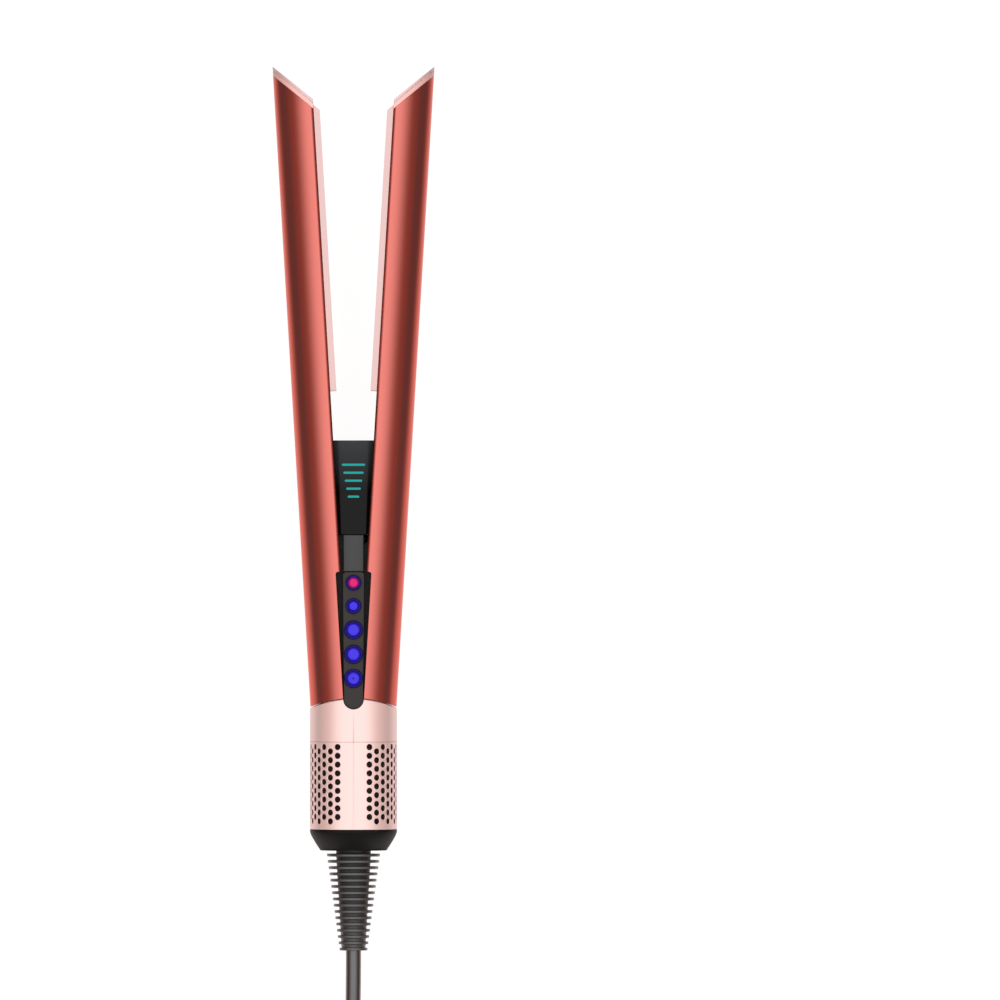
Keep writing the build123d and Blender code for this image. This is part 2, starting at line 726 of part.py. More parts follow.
def motor_housing():
    """Tube around the impeller, with a core held by three vanes."""
    core_radius, core_top, core_foot = 7.0, -32.0, -45.0
    bore = 1.3
    with BuildPart() as motor:
        with BuildSketch(level(MOTOR_TOP)):
            Circle(MOTOR_RADIUS)
            Circle(MOTOR_RADIUS - 1.5, mode=Mode.SUBTRACT)
        extrude(amount=MOTOR_TOP - MOTOR_FOOT)
        with BuildSketch(level(core_top)):
            Circle(core_radius)
        extrude(amount=core_top - core_foot)
        with BuildSketch(level(core_top - 1)):
            with PolarLocations((MOTOR_RADIUS - 1 + core_radius) / 2, 3):
                Rectangle(MOTOR_RADIUS - core_radius, 1.2)
        extrude(amount=core_top - core_foot - 2)
        with BuildSketch(level(core_foot - EPS)):
            Circle(bore)
        extrude(amount=-10.0, mode=Mode.SUBTRACT)
        with BuildSketch(level(COLLAR_FOOT)):
            Circle(MOTOR_RADIUS)
            Circle(MOTOR_RADIUS - 2.5, mode=Mode.SUBTRACT)
        extrude(amount=COLLAR_FOOT - MOTOR_TOP + EPS)
    return motor.part


def impeller():
    """Hub with nine blades, on a shaft that runs in the motor core."""
    hub_radius, top, foot, blades = 5.5, -46.0, -56.0, 9
    shaft_radius = 1.25
    with BuildPart() as wheel:
        with BuildSketch(level(top)):
            Circle(hub_radius)
        extrude(amount=top - foot)
        with BuildSketch(level(top - 1)):
            with PolarLocations((hub_radius + IMPELLER_RADIUS) / 2 - 0.3, blades):
                Rectangle(IMPELLER_RADIUS - hub_radius, 0.9)
        extrude(amount=top - foot - 2)
        with BuildSketch(level(top + 10)):
            Circle(shaft_radius)
        extrude(amount=10 + EPS)
    return wheel.part


def filter_screen():
    """Fine inner filter sleeve between the base deck and the end plate."""
    with BuildPart() as screen:
        with BuildSketch(level(COLLAR_FOOT - EPS)):
            with BuildLine():
                base_oval(CAGE_WALL + 0.9)
            make_face()
            with BuildLine():
                base_oval(CAGE_WALL + 1.7)
            make_face(mode=Mode.SUBTRACT)
        extrude(amount=COLLAR_FOOT - CAGE_FOOT - 2 - 2 * EPS)
    return screen.part


def main_board():
    with BuildPart() as board:
        with Locations((0, -20.0, 7.0)):
            Box(22.0, 11.9, 1.4)
        with Locations((-5, -20, 5.3), (5, -20, 5.3)):
            Box(5.0, 7.0, 2.0)
    return board.part


def frame_screws():
    """Four screws that hold the end plate to the posts' feet."""
    with BuildPart() as screws:
        with BuildSketch(level(CAGE_FOOT)):
            with GridLocations(2 * POST_X, 2 * POST_Z, 2, 2):
                Circle(1.6)
        extrude(amount=1.0)
    return screws.part


def build_base():
    pieces = {
        "base_frame": base_frame(),
        "collar": collar(),
        "hinge_pin": hinge_pin(),
        "arm_spring": arm_spring(),
        "control_carrier": control_carrier(),
        "button_board": button_board(),
        "control_panel": control_panel(),
        "display_glass": display_glass(),
        "display_housing": display_housing(),
        "lock_track": lock_track(),
        "lock_slider": lock_slider(),
        "motor_housing": motor_housing(),
        "impeller": impeller(),
        "filter_screen": filter_screen(),
        "main_board": main_board(),
        "frame_screws": frame_screws(),
    }
    for name, piece in pieces.items():
        keep(piece, name)
    for name, y, radius in BUTTONS:
        keep(button(y, radius), name)


# ---- removable filter cage ----------------------------------------------------------
def walk_oval(half_width, half_depth, count, start):
    """Points at equal steps along the superellipse, from `start` steps past the front."""
    fine = 3600
    power = 2 / SECTION_POWER
    outline = []
    for step in range(fine + 1):
        angle = pi / 2 - 2 * pi * step / fine
        across, along = cos(angle), sin(angle)
        x = half_width * abs(across) ** power * (1 if across > 0 else -1)
        z = half_depth * abs(along) ** power * (1 if along > 0 else -1)
        outline.append(Vector(x, 0, z))
    steps = [(far - near).length for near, far in zip(outline, outline[1:])]
    pitch = sum(steps) / count
    walked, wanted, points = 0.0, start * pitch, []
    for near, step in zip(outline, steps):
        if walked >= wanted and len(points) < count:
            points.append((near.X, near.Z))
            wanted += pitch
        walked += step
    return points


def cage_outline(inset):
    """Closed outline of flats that follows the base oval, one flat centred in front."""
    corners = walk_oval(BASE_HALF_WIDTH - inset, BASE_HALF_DEPTH - inset, CAGE_FACETS, 0.5)
    return Polyline(*corners, close=True)


def cage_columns():
    """Place and outward direction of every hole, column by column round the cage."""
    corners = walk_oval(BASE_HALF_WIDTH, BASE_HALF_DEPTH, CAGE_FACETS, 0.5)
    half = CAGE_FACETS // 2
    places = []
    for index in range(CAGE_FACETS):
        from_strip = min(index % half, half - index % half)
        if from_strip <= PLAIN_FACETS:
            continue
        near, far = Vector(*corners[index - 1]), Vector(*corners[index])
        middle, along = (near + far) / 2, far - near
        for row in range(HOLE_ROWS):
            y = HOLE_TOP_ROW - HOLE_ROW_PITCH * (row + (from_strip % 2) / 2)
            places.append(Plane(origin=(middle.X, y, middle.Y), z_dir=(-along.Y, 0, along.X)))
    return places


def filter_cage():
    with BuildPart() as cage:
        with BuildSketch(level(CAGE_TOP)):
            with BuildLine():
                cage_outline(0)
            make_face()
            with BuildLine():
                cage_outline(CAGE_WALL)
            make_face(mode=Mode.SUBTRACT)
        extrude(amount=CAGE_TOP - CAGE_FOOT)
        with Locations(*cage_columns()):
            Cylinder(HOLE_DIAMETER / 2, 3 * CAGE_WALL, mode=Mode.SUBTRACT)
    return cage.part


def cap_form(inset):
    """Filled end cap: a short oval lip, then a taper to a circle."""
    with BuildPart() as form:
        with BuildSketch(level(CAGE_FOOT - CAP_LIP)):
            with BuildLine():
                base_oval(inset)
            make_face()
        with BuildSketch(level(CAP_FOOT + inset)):
            Circle(CAP_FOOT_RADIUS - inset / 2)
        loft()
        with BuildSketch(level(CAGE_FOOT)):
            with BuildLine():
                base_oval(inset)
            make_face()
        extrude(amount=CAP_LIP)
    return form.part


def end_cap():
    with BuildPart() as cap:
        add(cap_form(0))
        add(cap_form(CAGE_WALL), mode=Mode.SUBTRACT)
        with BuildSketch(level(CAGE_FOOT)):
            Circle(CAP_HOLE_RADIUS)
        extrude(amount=CAGE_FOOT - CAP_FOOT, mode=Mode.SUBTRACT)
    return cap.part


# ---- cord ---------------------------------------------------------------------------
def strain_relief():
    """Rubber boot with fins that shrink towards the cord."""
    pitch = (RELIEF_FIRST_FIN - RELIEF_END - FIN_THICKNESS) / (RELIEF_FINS - 1)
    with BuildPart() as boot:
        with BuildSketch(level(RELIEF_TOP)):
            Circle(RELIEF_NECK_RADIUS)
        extrude(amount=RELIEF_TOP - RELIEF_NECK_FOOT)
        with BuildSketch(Plane.XY):
            with BuildLine():
                Polyline((0, RELIEF_NECK_FOOT), (CORE_RADIUS_TOP, RELIEF_NECK_FOOT),
                         (CORE_RADIUS_END, RELIEF_END), (0, RELIEF_END),
                         (0, RELIEF_NECK_FOOT))
            make_face()
        revolve(axis=Axis.Y)
        for number in range(RELIEF_FINS):
            share = number / (RELIEF_FINS - 1)
            with BuildSketch(level(RELIEF_FIRST_FIN - number * pitch)):
                Circle(FIN_RADIUS_TOP + share * (FIN_RADIUS_END - FIN_RADIUS_TOP))
            extrude(amount=FIN_THICKNESS)
    return boot.part


def laid_point(x, y, z):
    """A point of the tool's frame, moved to where it lies on the table."""
    return (LAY * Pos(x, y, z)).position


def tube(points, name):
    """Round cord along straight runs and the largest tangent arcs they allow."""
    corners = [Vector(*point) for point in points]
    radii = []
    for before, corner, after in zip(corners, corners[1:], corners[2:]):
        turn = radians((corner - before).get_angle(after - corner))
        shorter = min((corner - before).length, (after - corner).length)
        radii.append(0.45 * shorter / tan(turn / 2))
    with BuildPart() as cord:
        with BuildLine() as route:
            FilletPolyline(*points, radius=radii)
        with BuildSketch(Plane(origin=route.line @ 0, z_dir=route.line % 0)):
            Circle(CORD_DIAMETER / 2)
        sweep()
    length = sum(edge.length for edge in route.edges())
    print(name, "length", round(length, 1), "radii", [round(radius) for radius in radii],
          "volume ratio", round(cord.part.volume / (length * pi * CORD_DIAMETER ** 2 / 4), 4))
    return cord.part


def hank_middle():
    """Y of the middle of the tied hank."""
    return laid_point(0, RELIEF_END, 0).Y - HANK_DISTANCE


def hank_outline_half(y):
    """Half width of the hank's outside at a distance y from its middle."""
    share = min(abs(y) / HANK_REACH, 1.0)
    ease = share * share * (3 - 2 * share)
    inner = HANK_WAIST + (HANK_FOLD_RADIUS - HANK_WAIST) * ease
    return inner + HANK_PITCH * (HANK_STRANDS - 1) + CORD_DIAMETER / 2


def cord_hank():
    """Outer shape of the tied hank: two rounded ends and a waist under the tie."""
    height = HANK_PITCH * (HANK_LAYERS - 1) + CORD_DIAMETER
    end_radius = hank_outline_half(HANK_REACH)
    steps = 8
    side = [HANK_REACH * (2 * step / steps - 1) for step in range(steps + 1)]
    right = [(hank_outline_half(y), y) for y in side]
    left = [(-x, y) for x, y in right]
    with BuildPart() as hank:
        with BuildSketch(Plane(origin=(0, hank_middle(), 0))):
            with BuildLine():
                Spline(*right, tangents=((0, 1), (0, 1)))
                Spline(*left, tangents=((0, 1), (0, 1)))
                ThreePointArc(right[-1], (0, HANK_REACH + end_radius), left[-1])
                ThreePointArc(right[0], (0, -HANK_REACH - end_radius), left[0])
            make_face()
        extrude(amount=height)
    return hank.part


def hank_tie():
    """Strap round the waist of the hank, on the table under it as well as over it."""
    width, thickness = 11.0, 1.0
    half = hank_outline_half(width / 2) + 0.3
    height = HANK_PITCH * (HANK_LAYERS - 1) + CORD_DIAMETER
    with BuildPart() as tie:
        with BuildSketch(level(hank_middle() + width / 2)):
            with Locations((0, 0)):
                Rectangle(2 * (half + thickness), height + thickness,
                          align=(Align.CENTER, Align.MIN))
            with Locations((0, 0)):
                Rectangle(2 * half, height + EPS, align=(Align.CENTER, Align.MIN),
                          mode=Mode.SUBTRACT)
        extrude(amount=width)
    return tie.part


def cord_route():
    """From the boot's end, straight out, down to the table and on to the hank."""
    start = laid_point(0, RELIEF_END, 0)
    ahead = laid_point(0, RELIEF_END - 27.0, 0)
    floor = CORD_DIAMETER / 2
    y = start.Y
    return [
        (start.X, start.Y, start.Z),
        (ahead.X, ahead.Y, ahead.Z),
        (-1.5, y - 52.0, 13.2),
        (-6.0, y - 76.0, 7.2),
        (-14.0, y - 98.0, floor + 0.6),
        (-24.5, y - 116.5, floor),
    ]


def plug_route():
    """From the fold nearest the tool, up over the tie and into the plug."""
    y = hank_middle()
    top = HANK_PITCH * (HANK_LAYERS - 1) + CORD_DIAMETER
    return [
        (-32.4, y + 62.0, top - 2.0),
        (-29.5, y + 44.0, top + 1.4),
        (-21.5, y + 27.0, top + 4.4),
        (-11.0, y + 10.0, top + 6.6),
        (-3.0, y - 6.0, top + 7.8),
        (0.0, y - 20.0, top + 8.0),
    ]


def plug_body():
    """Moulded two-blade plug, lying on the hank with its blades away from the tool."""
    top = HANK_PITCH * (HANK_LAYERS - 1) + CORD_DIAMETER
    back = hank_middle() - 20.0
    middle = top + 8.0
    with BuildPart() as body:
        with BuildSketch(level(back)):
            with Locations((0, middle)):
                Circle(5.0)
        with BuildSketch(level(back - 16.0)):
            with Locations((0, middle)):
                RectangleRounded(24.0, 15.6, 5.0)
        loft()
        with BuildSketch(level(back - 16.0)):
            with Locations((0, middle)):
                RectangleRounded(24.0, 15.6, 5.0)
        extrude(amount=16.0)
    return body.part


def plug_blades():
    """Two flat blades, 12.7 mm apart."""
    top = HANK_PITCH * (HANK_LAYERS - 1) + CORD_DIAMETER
    face = hank_middle() - 52.0
    with BuildPart() as blades:
        with BuildSketch(level(face)):
            with Locations((-6.35, top + 8.0), (6.35, top + 8.0)):
                Rectangle(1.5, 6.3)
        extrude(amount=17.5)
        chamfer(blades.faces().sort_by(Axis.Y)[:2].edges().filter_by(Axis.Z), 0.5)
    return blades.part


def build_cord():
    """The cord lies on the table already, so its pieces are written as they are."""
    pieces = {
        "cord": tube(cord_route(), "cord"),
        "plug_lead": tube(plug_route(), "plug_lead"),
        "cord_hank": cord_hank(),
        "hank_tie": hank_tie(),
        "plug_body": plug_body(),
        "plug_blades": plug_blades(),
    }
    for name, piece in pieces.items():
        piece.label = name
        export_step(piece, f"{PARTS}/{name}.step")


os.makedirs(PARTS, exist_ok=True)
build_arms()
build_base()
keep(filter_cage(), "filter_cage")
keep(end_cap(), "end_cap")
keep(strain_relief(), "strain_relief")
build_cord()
print("tilt", round(degrees(REST_TILT), 3), "lift", round(REST_LIFT, 3))
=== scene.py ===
"""Looks of the air-blowing hair straightener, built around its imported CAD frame.

Pieces are drawn in the tool's own frame in millimetres, as in the CAD: the hinge axis
runs along Z through the origin, the closed arms point along +Y, and the buttons face +Z.
`place` lays each finished piece on the table, in metres.
"""
import bmesh
import bpy
import json
from math import acos, asin, atan2, cos, pi, radians, sin, sqrt, tan
from mathutils import Matrix, Vector


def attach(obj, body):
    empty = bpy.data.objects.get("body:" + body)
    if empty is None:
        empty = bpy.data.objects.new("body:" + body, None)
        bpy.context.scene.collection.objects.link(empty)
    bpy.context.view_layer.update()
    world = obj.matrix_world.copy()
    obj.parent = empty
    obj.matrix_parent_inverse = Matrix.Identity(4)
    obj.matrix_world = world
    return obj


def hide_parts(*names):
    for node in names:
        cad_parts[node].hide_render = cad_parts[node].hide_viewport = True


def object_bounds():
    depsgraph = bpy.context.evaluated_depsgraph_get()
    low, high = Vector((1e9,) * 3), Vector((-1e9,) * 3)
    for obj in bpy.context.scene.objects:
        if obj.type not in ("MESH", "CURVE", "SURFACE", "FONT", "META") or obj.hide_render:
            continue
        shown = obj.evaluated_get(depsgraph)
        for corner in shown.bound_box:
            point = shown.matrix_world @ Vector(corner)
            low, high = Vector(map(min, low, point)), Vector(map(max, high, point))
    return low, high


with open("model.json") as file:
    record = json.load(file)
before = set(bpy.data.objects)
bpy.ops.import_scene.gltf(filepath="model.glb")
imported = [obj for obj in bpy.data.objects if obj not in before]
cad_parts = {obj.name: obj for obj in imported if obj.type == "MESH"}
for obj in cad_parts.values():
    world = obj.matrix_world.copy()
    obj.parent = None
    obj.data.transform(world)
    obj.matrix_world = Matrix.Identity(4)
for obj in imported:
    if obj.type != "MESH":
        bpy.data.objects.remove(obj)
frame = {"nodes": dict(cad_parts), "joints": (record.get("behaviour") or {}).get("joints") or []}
CAD_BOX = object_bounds()

# ---- driving dimensions, in millimetres ------------------------------------------------
MM = 0.001
SECTION_POWER = 2.4

ARM_HALF_WIDTH = 18.7
ARM_HALF_DEPTH = 22.8
ARM_MIDDLE = 0.2
ARM_TIP = 252.8
ARM_FOOT = -10.3
ARM_FOOT_DROP = 3.0
SHELL_WALL = 1.8
SHELL_ROUND = 1.6            # rounding of the shell's two long edges
SHELL_EDGE = 2.7
SHELL_TRIM = -15.1
TIP_SLOPE = tan(radians(43))
LID_DROP = 1.6
RIM_DROP = 2.4
PLATE_TIP_DROP = 2.2

PLATE_FACE = 0.15
PLATE_FOOT = 117.0
PLATE_FRONT = 22.2
FLANGE_MIDDLE = -12.0
FLANGE_HALF_WIDTH = 15.1
FLANGE_HALF_DEPTH = 17.3
FLANGE_WALL = 3.0
SLOT_LENGTH = 15.0
SLOT_HEIGHT = 1.6
SLOT_PITCH = 18.0
SLOT_COUNT = 6
SLOT_ROWS = (7.0, -8.0)

GUARD_TOP_Z = -9.6
GUARD_RIM_X = 16.0
GUARD_RIM_RADIUS = 22.6
GUARD_RIM_CENTRE = (109.7, -4.6)
GUARD_BASE_X = 2.7
GUARD_BASE_RADIUS = 25.1
GUARD_BASE_CENTRE = (110.8, -10.4)
DISH_RADIUS = 24.3
DISH_DEPTH_X = 4.6
INLAY_THICKNESS = 1.5
INLAY_SETBACK = 0.7
INLAY_WALL_SLOPE = 0.3

BASE_HALF_WIDTH = 18.05
BASE_HALF_DEPTH = 23.4
COLLAR_TOP_HALF_DEPTH = 22.4
COLLAR_TOP = -10.9
COLLAR_SADDLE_RADIUS = 42.0
COLLAR_FOOT = -28.6
COLLAR_WALL = 1.8

CAGE_TOP = -28.9
CAGE_FOOT = -65.1
CAGE_WALL = 1.6
SLEEVE_WALL = 1.0
HOLE_RADIUS = 1.25
HOLE_ROWS = 9
HOLE_ROW_PITCH = 3.62
HOLE_TOP_ROW = -30.9
CAGE_COLUMNS = 40
PLAIN_COLUMNS = 1            # without holes, each side of the front and back middle

CAP_FOOT = -74.0
CAP_LIP = 1.2
CAP_FOOT_RADIUS = 14.1
CAP_HOLE_RADIUS = 11.5

RELIEF_TOP = CAGE_FOOT
RELIEF_FIRST_FIN = -75.4
RELIEF_END = -115.5
RELIEF_NECK_FOOT = -73.7
RELIEF_NECK_RADIUS = 11.0
RELIEF_FINS = 16
FIN_THICKNESS = 1.1
FIN_RADIUS_TOP = 11.0
FIN_RADIUS_END = 5.8
CORE_RADIUS_TOP = 7.2
CORE_RADIUS_END = 4.8

PANEL_TOP = 41.5
PANEL_FOOT = -15.1
PANEL_HALF_WIDTH = 4.35
PANEL_FOOT_HALF = 4.0
PANEL_FRONT = 21.0
PANEL_BACK = 18.4
NOTCH_HALF_WIDTH = 5.0
NOTCH_TOP = 42.0
STEM_TOP = 56.9
STEM_HALF_WIDTH = 4.15
STEM_FRONT = 20.0
BUTTONS = {                  # Y of the centre, radius
    "mode_button": (37.1, 3.05),
    "cool_button": (27.5, 3.05),
    "heat_button": (17.6, 3.75),
    "airflow_button": (7.5, 3.75),
    "power_button": (-2.5, 3.75),
}
BUTTON_GAP = 0.7
BUTTON_DOME = 1.3
BUTTON_STEM_RADIUS = 2.2
BUTTON_HOLE_RADIUS = 2.5

DISPLAY_FOOT = 57.1
DISPLAY_TOP = 96.1
DISPLAY_HALF_WIDTH = 8.5
GLASS_INSET = 2.8
GLASS_THICKNESS = 1.2
# how far down from the window's top the painted reflection reaches
REFLECTION_FADE_SPAN = 22.0
BAR_COUNT = 5                # level gauge behind the window
BAR_FIRST = 72.8             # Y of the lowest bar
BAR_PITCH = 3.3
BAR_HALF_HEIGHT = 0.45
CARRIER_BACK = 14.7
CARRIER_FRONT = 17.3
PLATE_HALF = 8.0             # the carrier's back plate
PLATE_LOW = -10.0
PLATE_THICKNESS = 1.0

TRACK_BACK = -20.0
TRACK_FRONT = -17.8
TRACK_TOP = 12.0
TRACK_HALF_WIDTH = 4.3
SLIDER_TOP = 4.0
SLIDER_FOOT = -5.4
SLIDER_BACK = -24.0
SLIDER_HALF_WIDTH = 3.4
DECK_TOP = -26.0

CORD_DIAMETER = 6.4
HANK_STRANDS = 3
HANK_LAYERS = 2
HANK_TURNS = 5
HANK_PITCH = 6.6
HANK_FOLD_RADIUS = 19.2
HANK_WAIST = 4.0
HANK_REACH = 64.0
HANK_DISTANCE = 205.0

# ---- picture, floor and light -------------------------------------------------------------
LENS, SENSOR = 800.0, 36.0
VIEW_WIDTH = 415.0           # what the picture spans at the hinge's level
VIEW_RIGHT, VIEW_AHEAD = 60.8, 71.4
FLOOR_COLOR = 0.12
FLOOR_GLOW = 0.93
GLOW_COLOR = (1.0, 0.88, 0.86)
GLOW_NEAR, GLOW_FAR = 42.0, 100.0
GLOW_BRIGHT, GLOW_DARK = 1.25, 0.22
DOME_TOP = (1.82, 1.82, 1.82)       # overhead light
DOME_FOOT = (0.42, 0.225, 0.175)    # light near the horizon
DOME_LOW, DOME_HIGH = 0.30, 0.88    # sine of the height at which the light starts and is full
DOME_POWER = 1.66

# ---- where the tool lies ----------------------------------------------------------------
hinge = next(joint for joint in frame["joints"] if joint["name"] == "right_arm_hinge")
OPEN_ANGLE = radians(max(hinge["range_deg"]))
UP = Vector(hinge["axis"]).normalized()
ALONG = Vector((0, UP.z, -UP.y))
ACROSS = ALONG.cross(UP)
LAY = Matrix.Translation(hinge["pos_m"]) @ Matrix((ACROSS, ALONG, UP)).transposed().to_4x4()
LAY = LAY @ Matrix.Scale(MM, 4)
RIGHT = LAY @ Matrix.Rotation(-OPEN_ANGLE, 4, "Z")
LEFT = LAY @ Matrix.Scale(-1, 4, (1, 0, 0)) @ Matrix.Rotation(-OPEN_ANGLE, 4, "Z")


# ---- mesh tools --------------------------------------------------------------------------
def add(name, data):
    """New object in the scene."""
    made = bpy.data.objects.new(name, data)
    bpy.context.scene.collection.objects.link(made)
    return made


def mesh_object(points, faces):
    mesh = bpy.data.meshes.new("blank")
    mesh.from_pydata([tuple(point) for point in points], [], faces)
    work = bmesh.new()
    work.from_mesh(mesh)
    bmesh.ops.recalc_face_normals(work, faces=work.faces)
    work.to_mesh(mesh)
    work.free()
    return add("blank", mesh)


def loft(rings, closed=False):
    """Solid through rings of equally many points; capped, or closed on itself."""
    count = len(rings[0])
    points = [point for ring in rings for point in ring]
    faces = []
    for ring in range(len(rings) - (0 if closed else 1)):
        near, far = ring * count, (ring + 1) % len(rings) * count
        for step in range(count):
            after = (step + 1) % count
            faces.append((near + step, near + after, far + after, far + step))
    if not closed:
        faces.append(tuple(range(count)))
        faces.append(tuple(range(len(points) - count, len(points))))
    return mesh_object(points, faces)


AXIS_ORDER = {"X": lambda u, v, w: (w, u, v), "Y": lambda u, v, w: (u, w, v),
              "Z": lambda u, v, w: (u, v, w)}


def prism(outline, low, high, axis):
    """Outline in (Y, Z), (X, Z) or (X, Y), carried along the third axis from low to high."""
    order = AXIS_ORDER[axis]
    return loft([[order(u, v, level) for u, v in outline] for level in (low, high)])


def box(x, y, z):
    """Block between pairs of limits."""
    return prism([(x[0], y[0]), (x[1], y[0]), (x[1], y[1]), (x[0], y[1])], *z, "Z")


def lathe(profile, steps):
    """Closed turned solid about an axis along Y; the profile is (radius, y)."""
    rings = []
    for radius, y in profile:
        ring = []
        for step in range(steps):
            angle = 2 * pi * step / steps
            ring.append((radius * cos(angle), y, radius * sin(angle)))
        rings.append(ring)
    return loft(rings)


def around(middle, half):
    """Limits this far on both sides of a middle."""
    return middle - half, middle + half


def circle(centre, radius, steps=96):
    angles = [2 * pi * step / steps for step in range(steps)]
    return [(centre[0] + radius * cos(angle), centre[1] + radius * sin(angle)) for angle in angles]


def rounded(x, y, radius, steps=6):
    """Rectangle between pairs of limits with round corners."""
    corners = ((x[1], y[1], 0), (x[0], y[1], 1), (x[0], y[0], 2), (x[1], y[0], 3))
    outline = []
    for u, v, quarter in corners:
        u += radius if quarter in (1, 2) else -radius
        v += radius if quarter in (2, 3) else -radius
        for step in range(steps + 1):
            angle = pi / 2 * (quarter + step / steps)
            outline.append((u + radius * cos(angle), v + radius * sin(angle)))
    return outline


def oval_point(half_width, half_depth, middle, angle):
    power = 2 / SECTION_POWER
    across, along = cos(angle), sin(angle)
    x = half_width * abs(across) ** power * (1 if across > 0 else -1)
    z = half_depth * abs(along) ** power * (1 if along > 0 else -1)
    return x, middle + z


def oval(half_width, half_depth, middle=0.0, steps=192):
    angles = [2 * pi * (step + 0.5) / steps for step in range(steps)]
    return [oval_point(half_width, half_depth, middle, angle) for angle in angles]


def arm_arc(inset, low, high, steps=120):
    """The arm's oval from angle low to angle high; 0 faces +X and a quarter turn faces +Z."""
    angles = [low + (high - low) * step / steps for step in range(steps + 1)]
    return [oval_point(ARM_HALF_WIDTH - inset, ARM_HALF_DEPTH - inset, ARM_MIDDLE, angle)
            for angle in angles]


def angle_at_x(inset, x):
    """Angle of the arm's oval where its front half stands x from the middle."""
    return acos((x / (ARM_HALF_WIDTH - inset)) ** (SECTION_POWER / 2))


def angle_at_z(inset, z):
    depth = (z - ARM_MIDDLE) / (ARM_HALF_DEPTH - inset)
    return asin(abs(depth) ** (SECTION_POWER / 2)) * (1 if depth > 0 else -1)


def bake(blank):
    """Apply the object's modifiers to its mesh."""
    depsgraph = bpy.context.evaluated_depsgraph_get()
    old = blank.data
    blank.data = bpy.data.meshes.new_from_object(blank.evaluated_get(depsgraph))
    blank.modifiers.clear()
    bpy.data.meshes.remove(old)


def cut(blank, *cutters, operation="DIFFERENCE"):
    for cutter in cutters:
        modifier = blank.modifiers.new("cut", "BOOLEAN")
        modifier.operation = operation
        modifier.solver = "EXACT"
        modifier.object = cutter
        bake(blank)
        bpy.data.objects.remove(cutter)
    return blank


def join(blank, *others):
    return cut(blank, *others, operation="UNION")


def slope_block(drop, corner):
    """Block on one side of the slanted tip plane, which lies this far under the tip."""
    reach = 60.0
    low, high = ((ARM_HALF_WIDTH + n * reach, ARM_TIP - drop + n * reach * TIP_SLOPE) for n in (-1, 1))
    if corner == "above":
        return prism([low, high, (low[0], high[1])], -reach, reach, "Z")
    return prism([low, (high[0], low[1]), high], -reach, reach, "Z")


def above_slope(drop):
    return slope_block(drop, "above")


def below_slope(drop):
    return slope_block(drop, "below")


def clean(blank):
    """Weld stray points and merge flat neighbours after cutting."""
    weld, flat = 0.002, radians(0.05)
    work = bmesh.new()
    work.from_mesh(blank.data)
    bmesh.ops.remove_doubles(work, verts=work.verts, dist=weld)
    bmesh.ops.dissolve_limit(work, angle_limit=flat, verts=work.verts, edges=work.edges)
    work.to_mesh(blank.data)
    work.free()


def copy(blank):
    twin = blank.copy()
    twin.data = blank.data.copy()
    bpy.context.scene.collection.objects.link(twin)
    return twin


def place(blank, name, body, slot, material, nodes=(), matrix=LAY, bevel=0.0, sharp=28):
    """Name a finished piece, lay it down, and give it its body and material."""
    clean(blank)
    blank.data.transform(matrix)
    if matrix.determinant() < 0:
        blank.data.flip_normals()
    blank.name = name
    blank.data.name = name
    blank.data.materials.append(material)
    blank.data.shade_smooth()
    blank.data.set_sharp_from_angle(angle=radians(sharp))
    if bevel:
        modifier = blank.modifiers.new("edges", "BEVEL")
        modifier.width = bevel * MM
        modifier.segments = 3
        modifier.limit_method = "ANGLE"
        modifier.angle_limit = radians(sharp)
        modifier.harden_normals = True
        modifier.use_clamp_overlap = True
    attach(blank, body)
    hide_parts(*nodes)
    return blank


def place_pair(blank, name, slot, material, node, bevel=0.0, sharp=28):
    """Place an arm piece on the right arm, and its mirror image on the left."""
    twin = copy(blank)
    for arm, side, matrix in ((blank, "right", RIGHT), (twin, "left", LEFT)):
        place(arm, f"{side}_{name}", f"{side}_arm", slot, material,
              (f"{side}_{node}",), matrix, bevel, sharp)
    return blank, twin


# ---- materials ---------------------------------------------------------------------------
def math_node(tree, operation, *values):
    """Math node; a value is a number, or an output to link."""
    node = tree.nodes.new("ShaderNodeMath")
    node.operation = operation
    for socket, value in zip(node.inputs, values):
        if isinstance(value, float):
            socket.default_value = value
        else:
            tree.links.new(value, socket)
    return node.outputs[0]


def map_range(tree, value, source, target=(0.0, 1.0)):
    """Map Range node between two pairs of limits."""
    node = tree.nodes.new("ShaderNodeMapRange")
    for name, limit in zip(("From Min", "From Max", "To Min", "To Max"), (*source, *target)):
        node.inputs[name].default_value = limit
    tree.links.new(value, node.inputs["Value"])
    return node


def mix_colors(tree, factor, first, second):
    """Mix node between two colours."""
    node = tree.nodes.new("ShaderNodeMix")
    node.data_type = "RGBA"
    node.inputs["A"].default_value = (*first, 1)
    node.inputs["B"].default_value = (*second, 1)
    tree.links.new(factor, node.inputs["Factor"])
    return node.outputs["Result"]


def separate(tree, coordinates, space):
    """Separate XYZ node on one of a Texture Coordinate node's outputs."""
    split = tree.nodes.new("ShaderNodeSeparateXYZ")
    tree.links.new(coordinates.outputs[space], split.inputs[0])
    return split.outputs


def noise(tree, vector, scale, detail):
    node = tree.nodes.new("ShaderNodeTexNoise")
    node.inputs["Scale"].default_value = scale
    node.inputs["Detail"].default_value = detail
    tree.links.new(vector, node.inputs["Vector"])
    return node.outputs["Fac"]


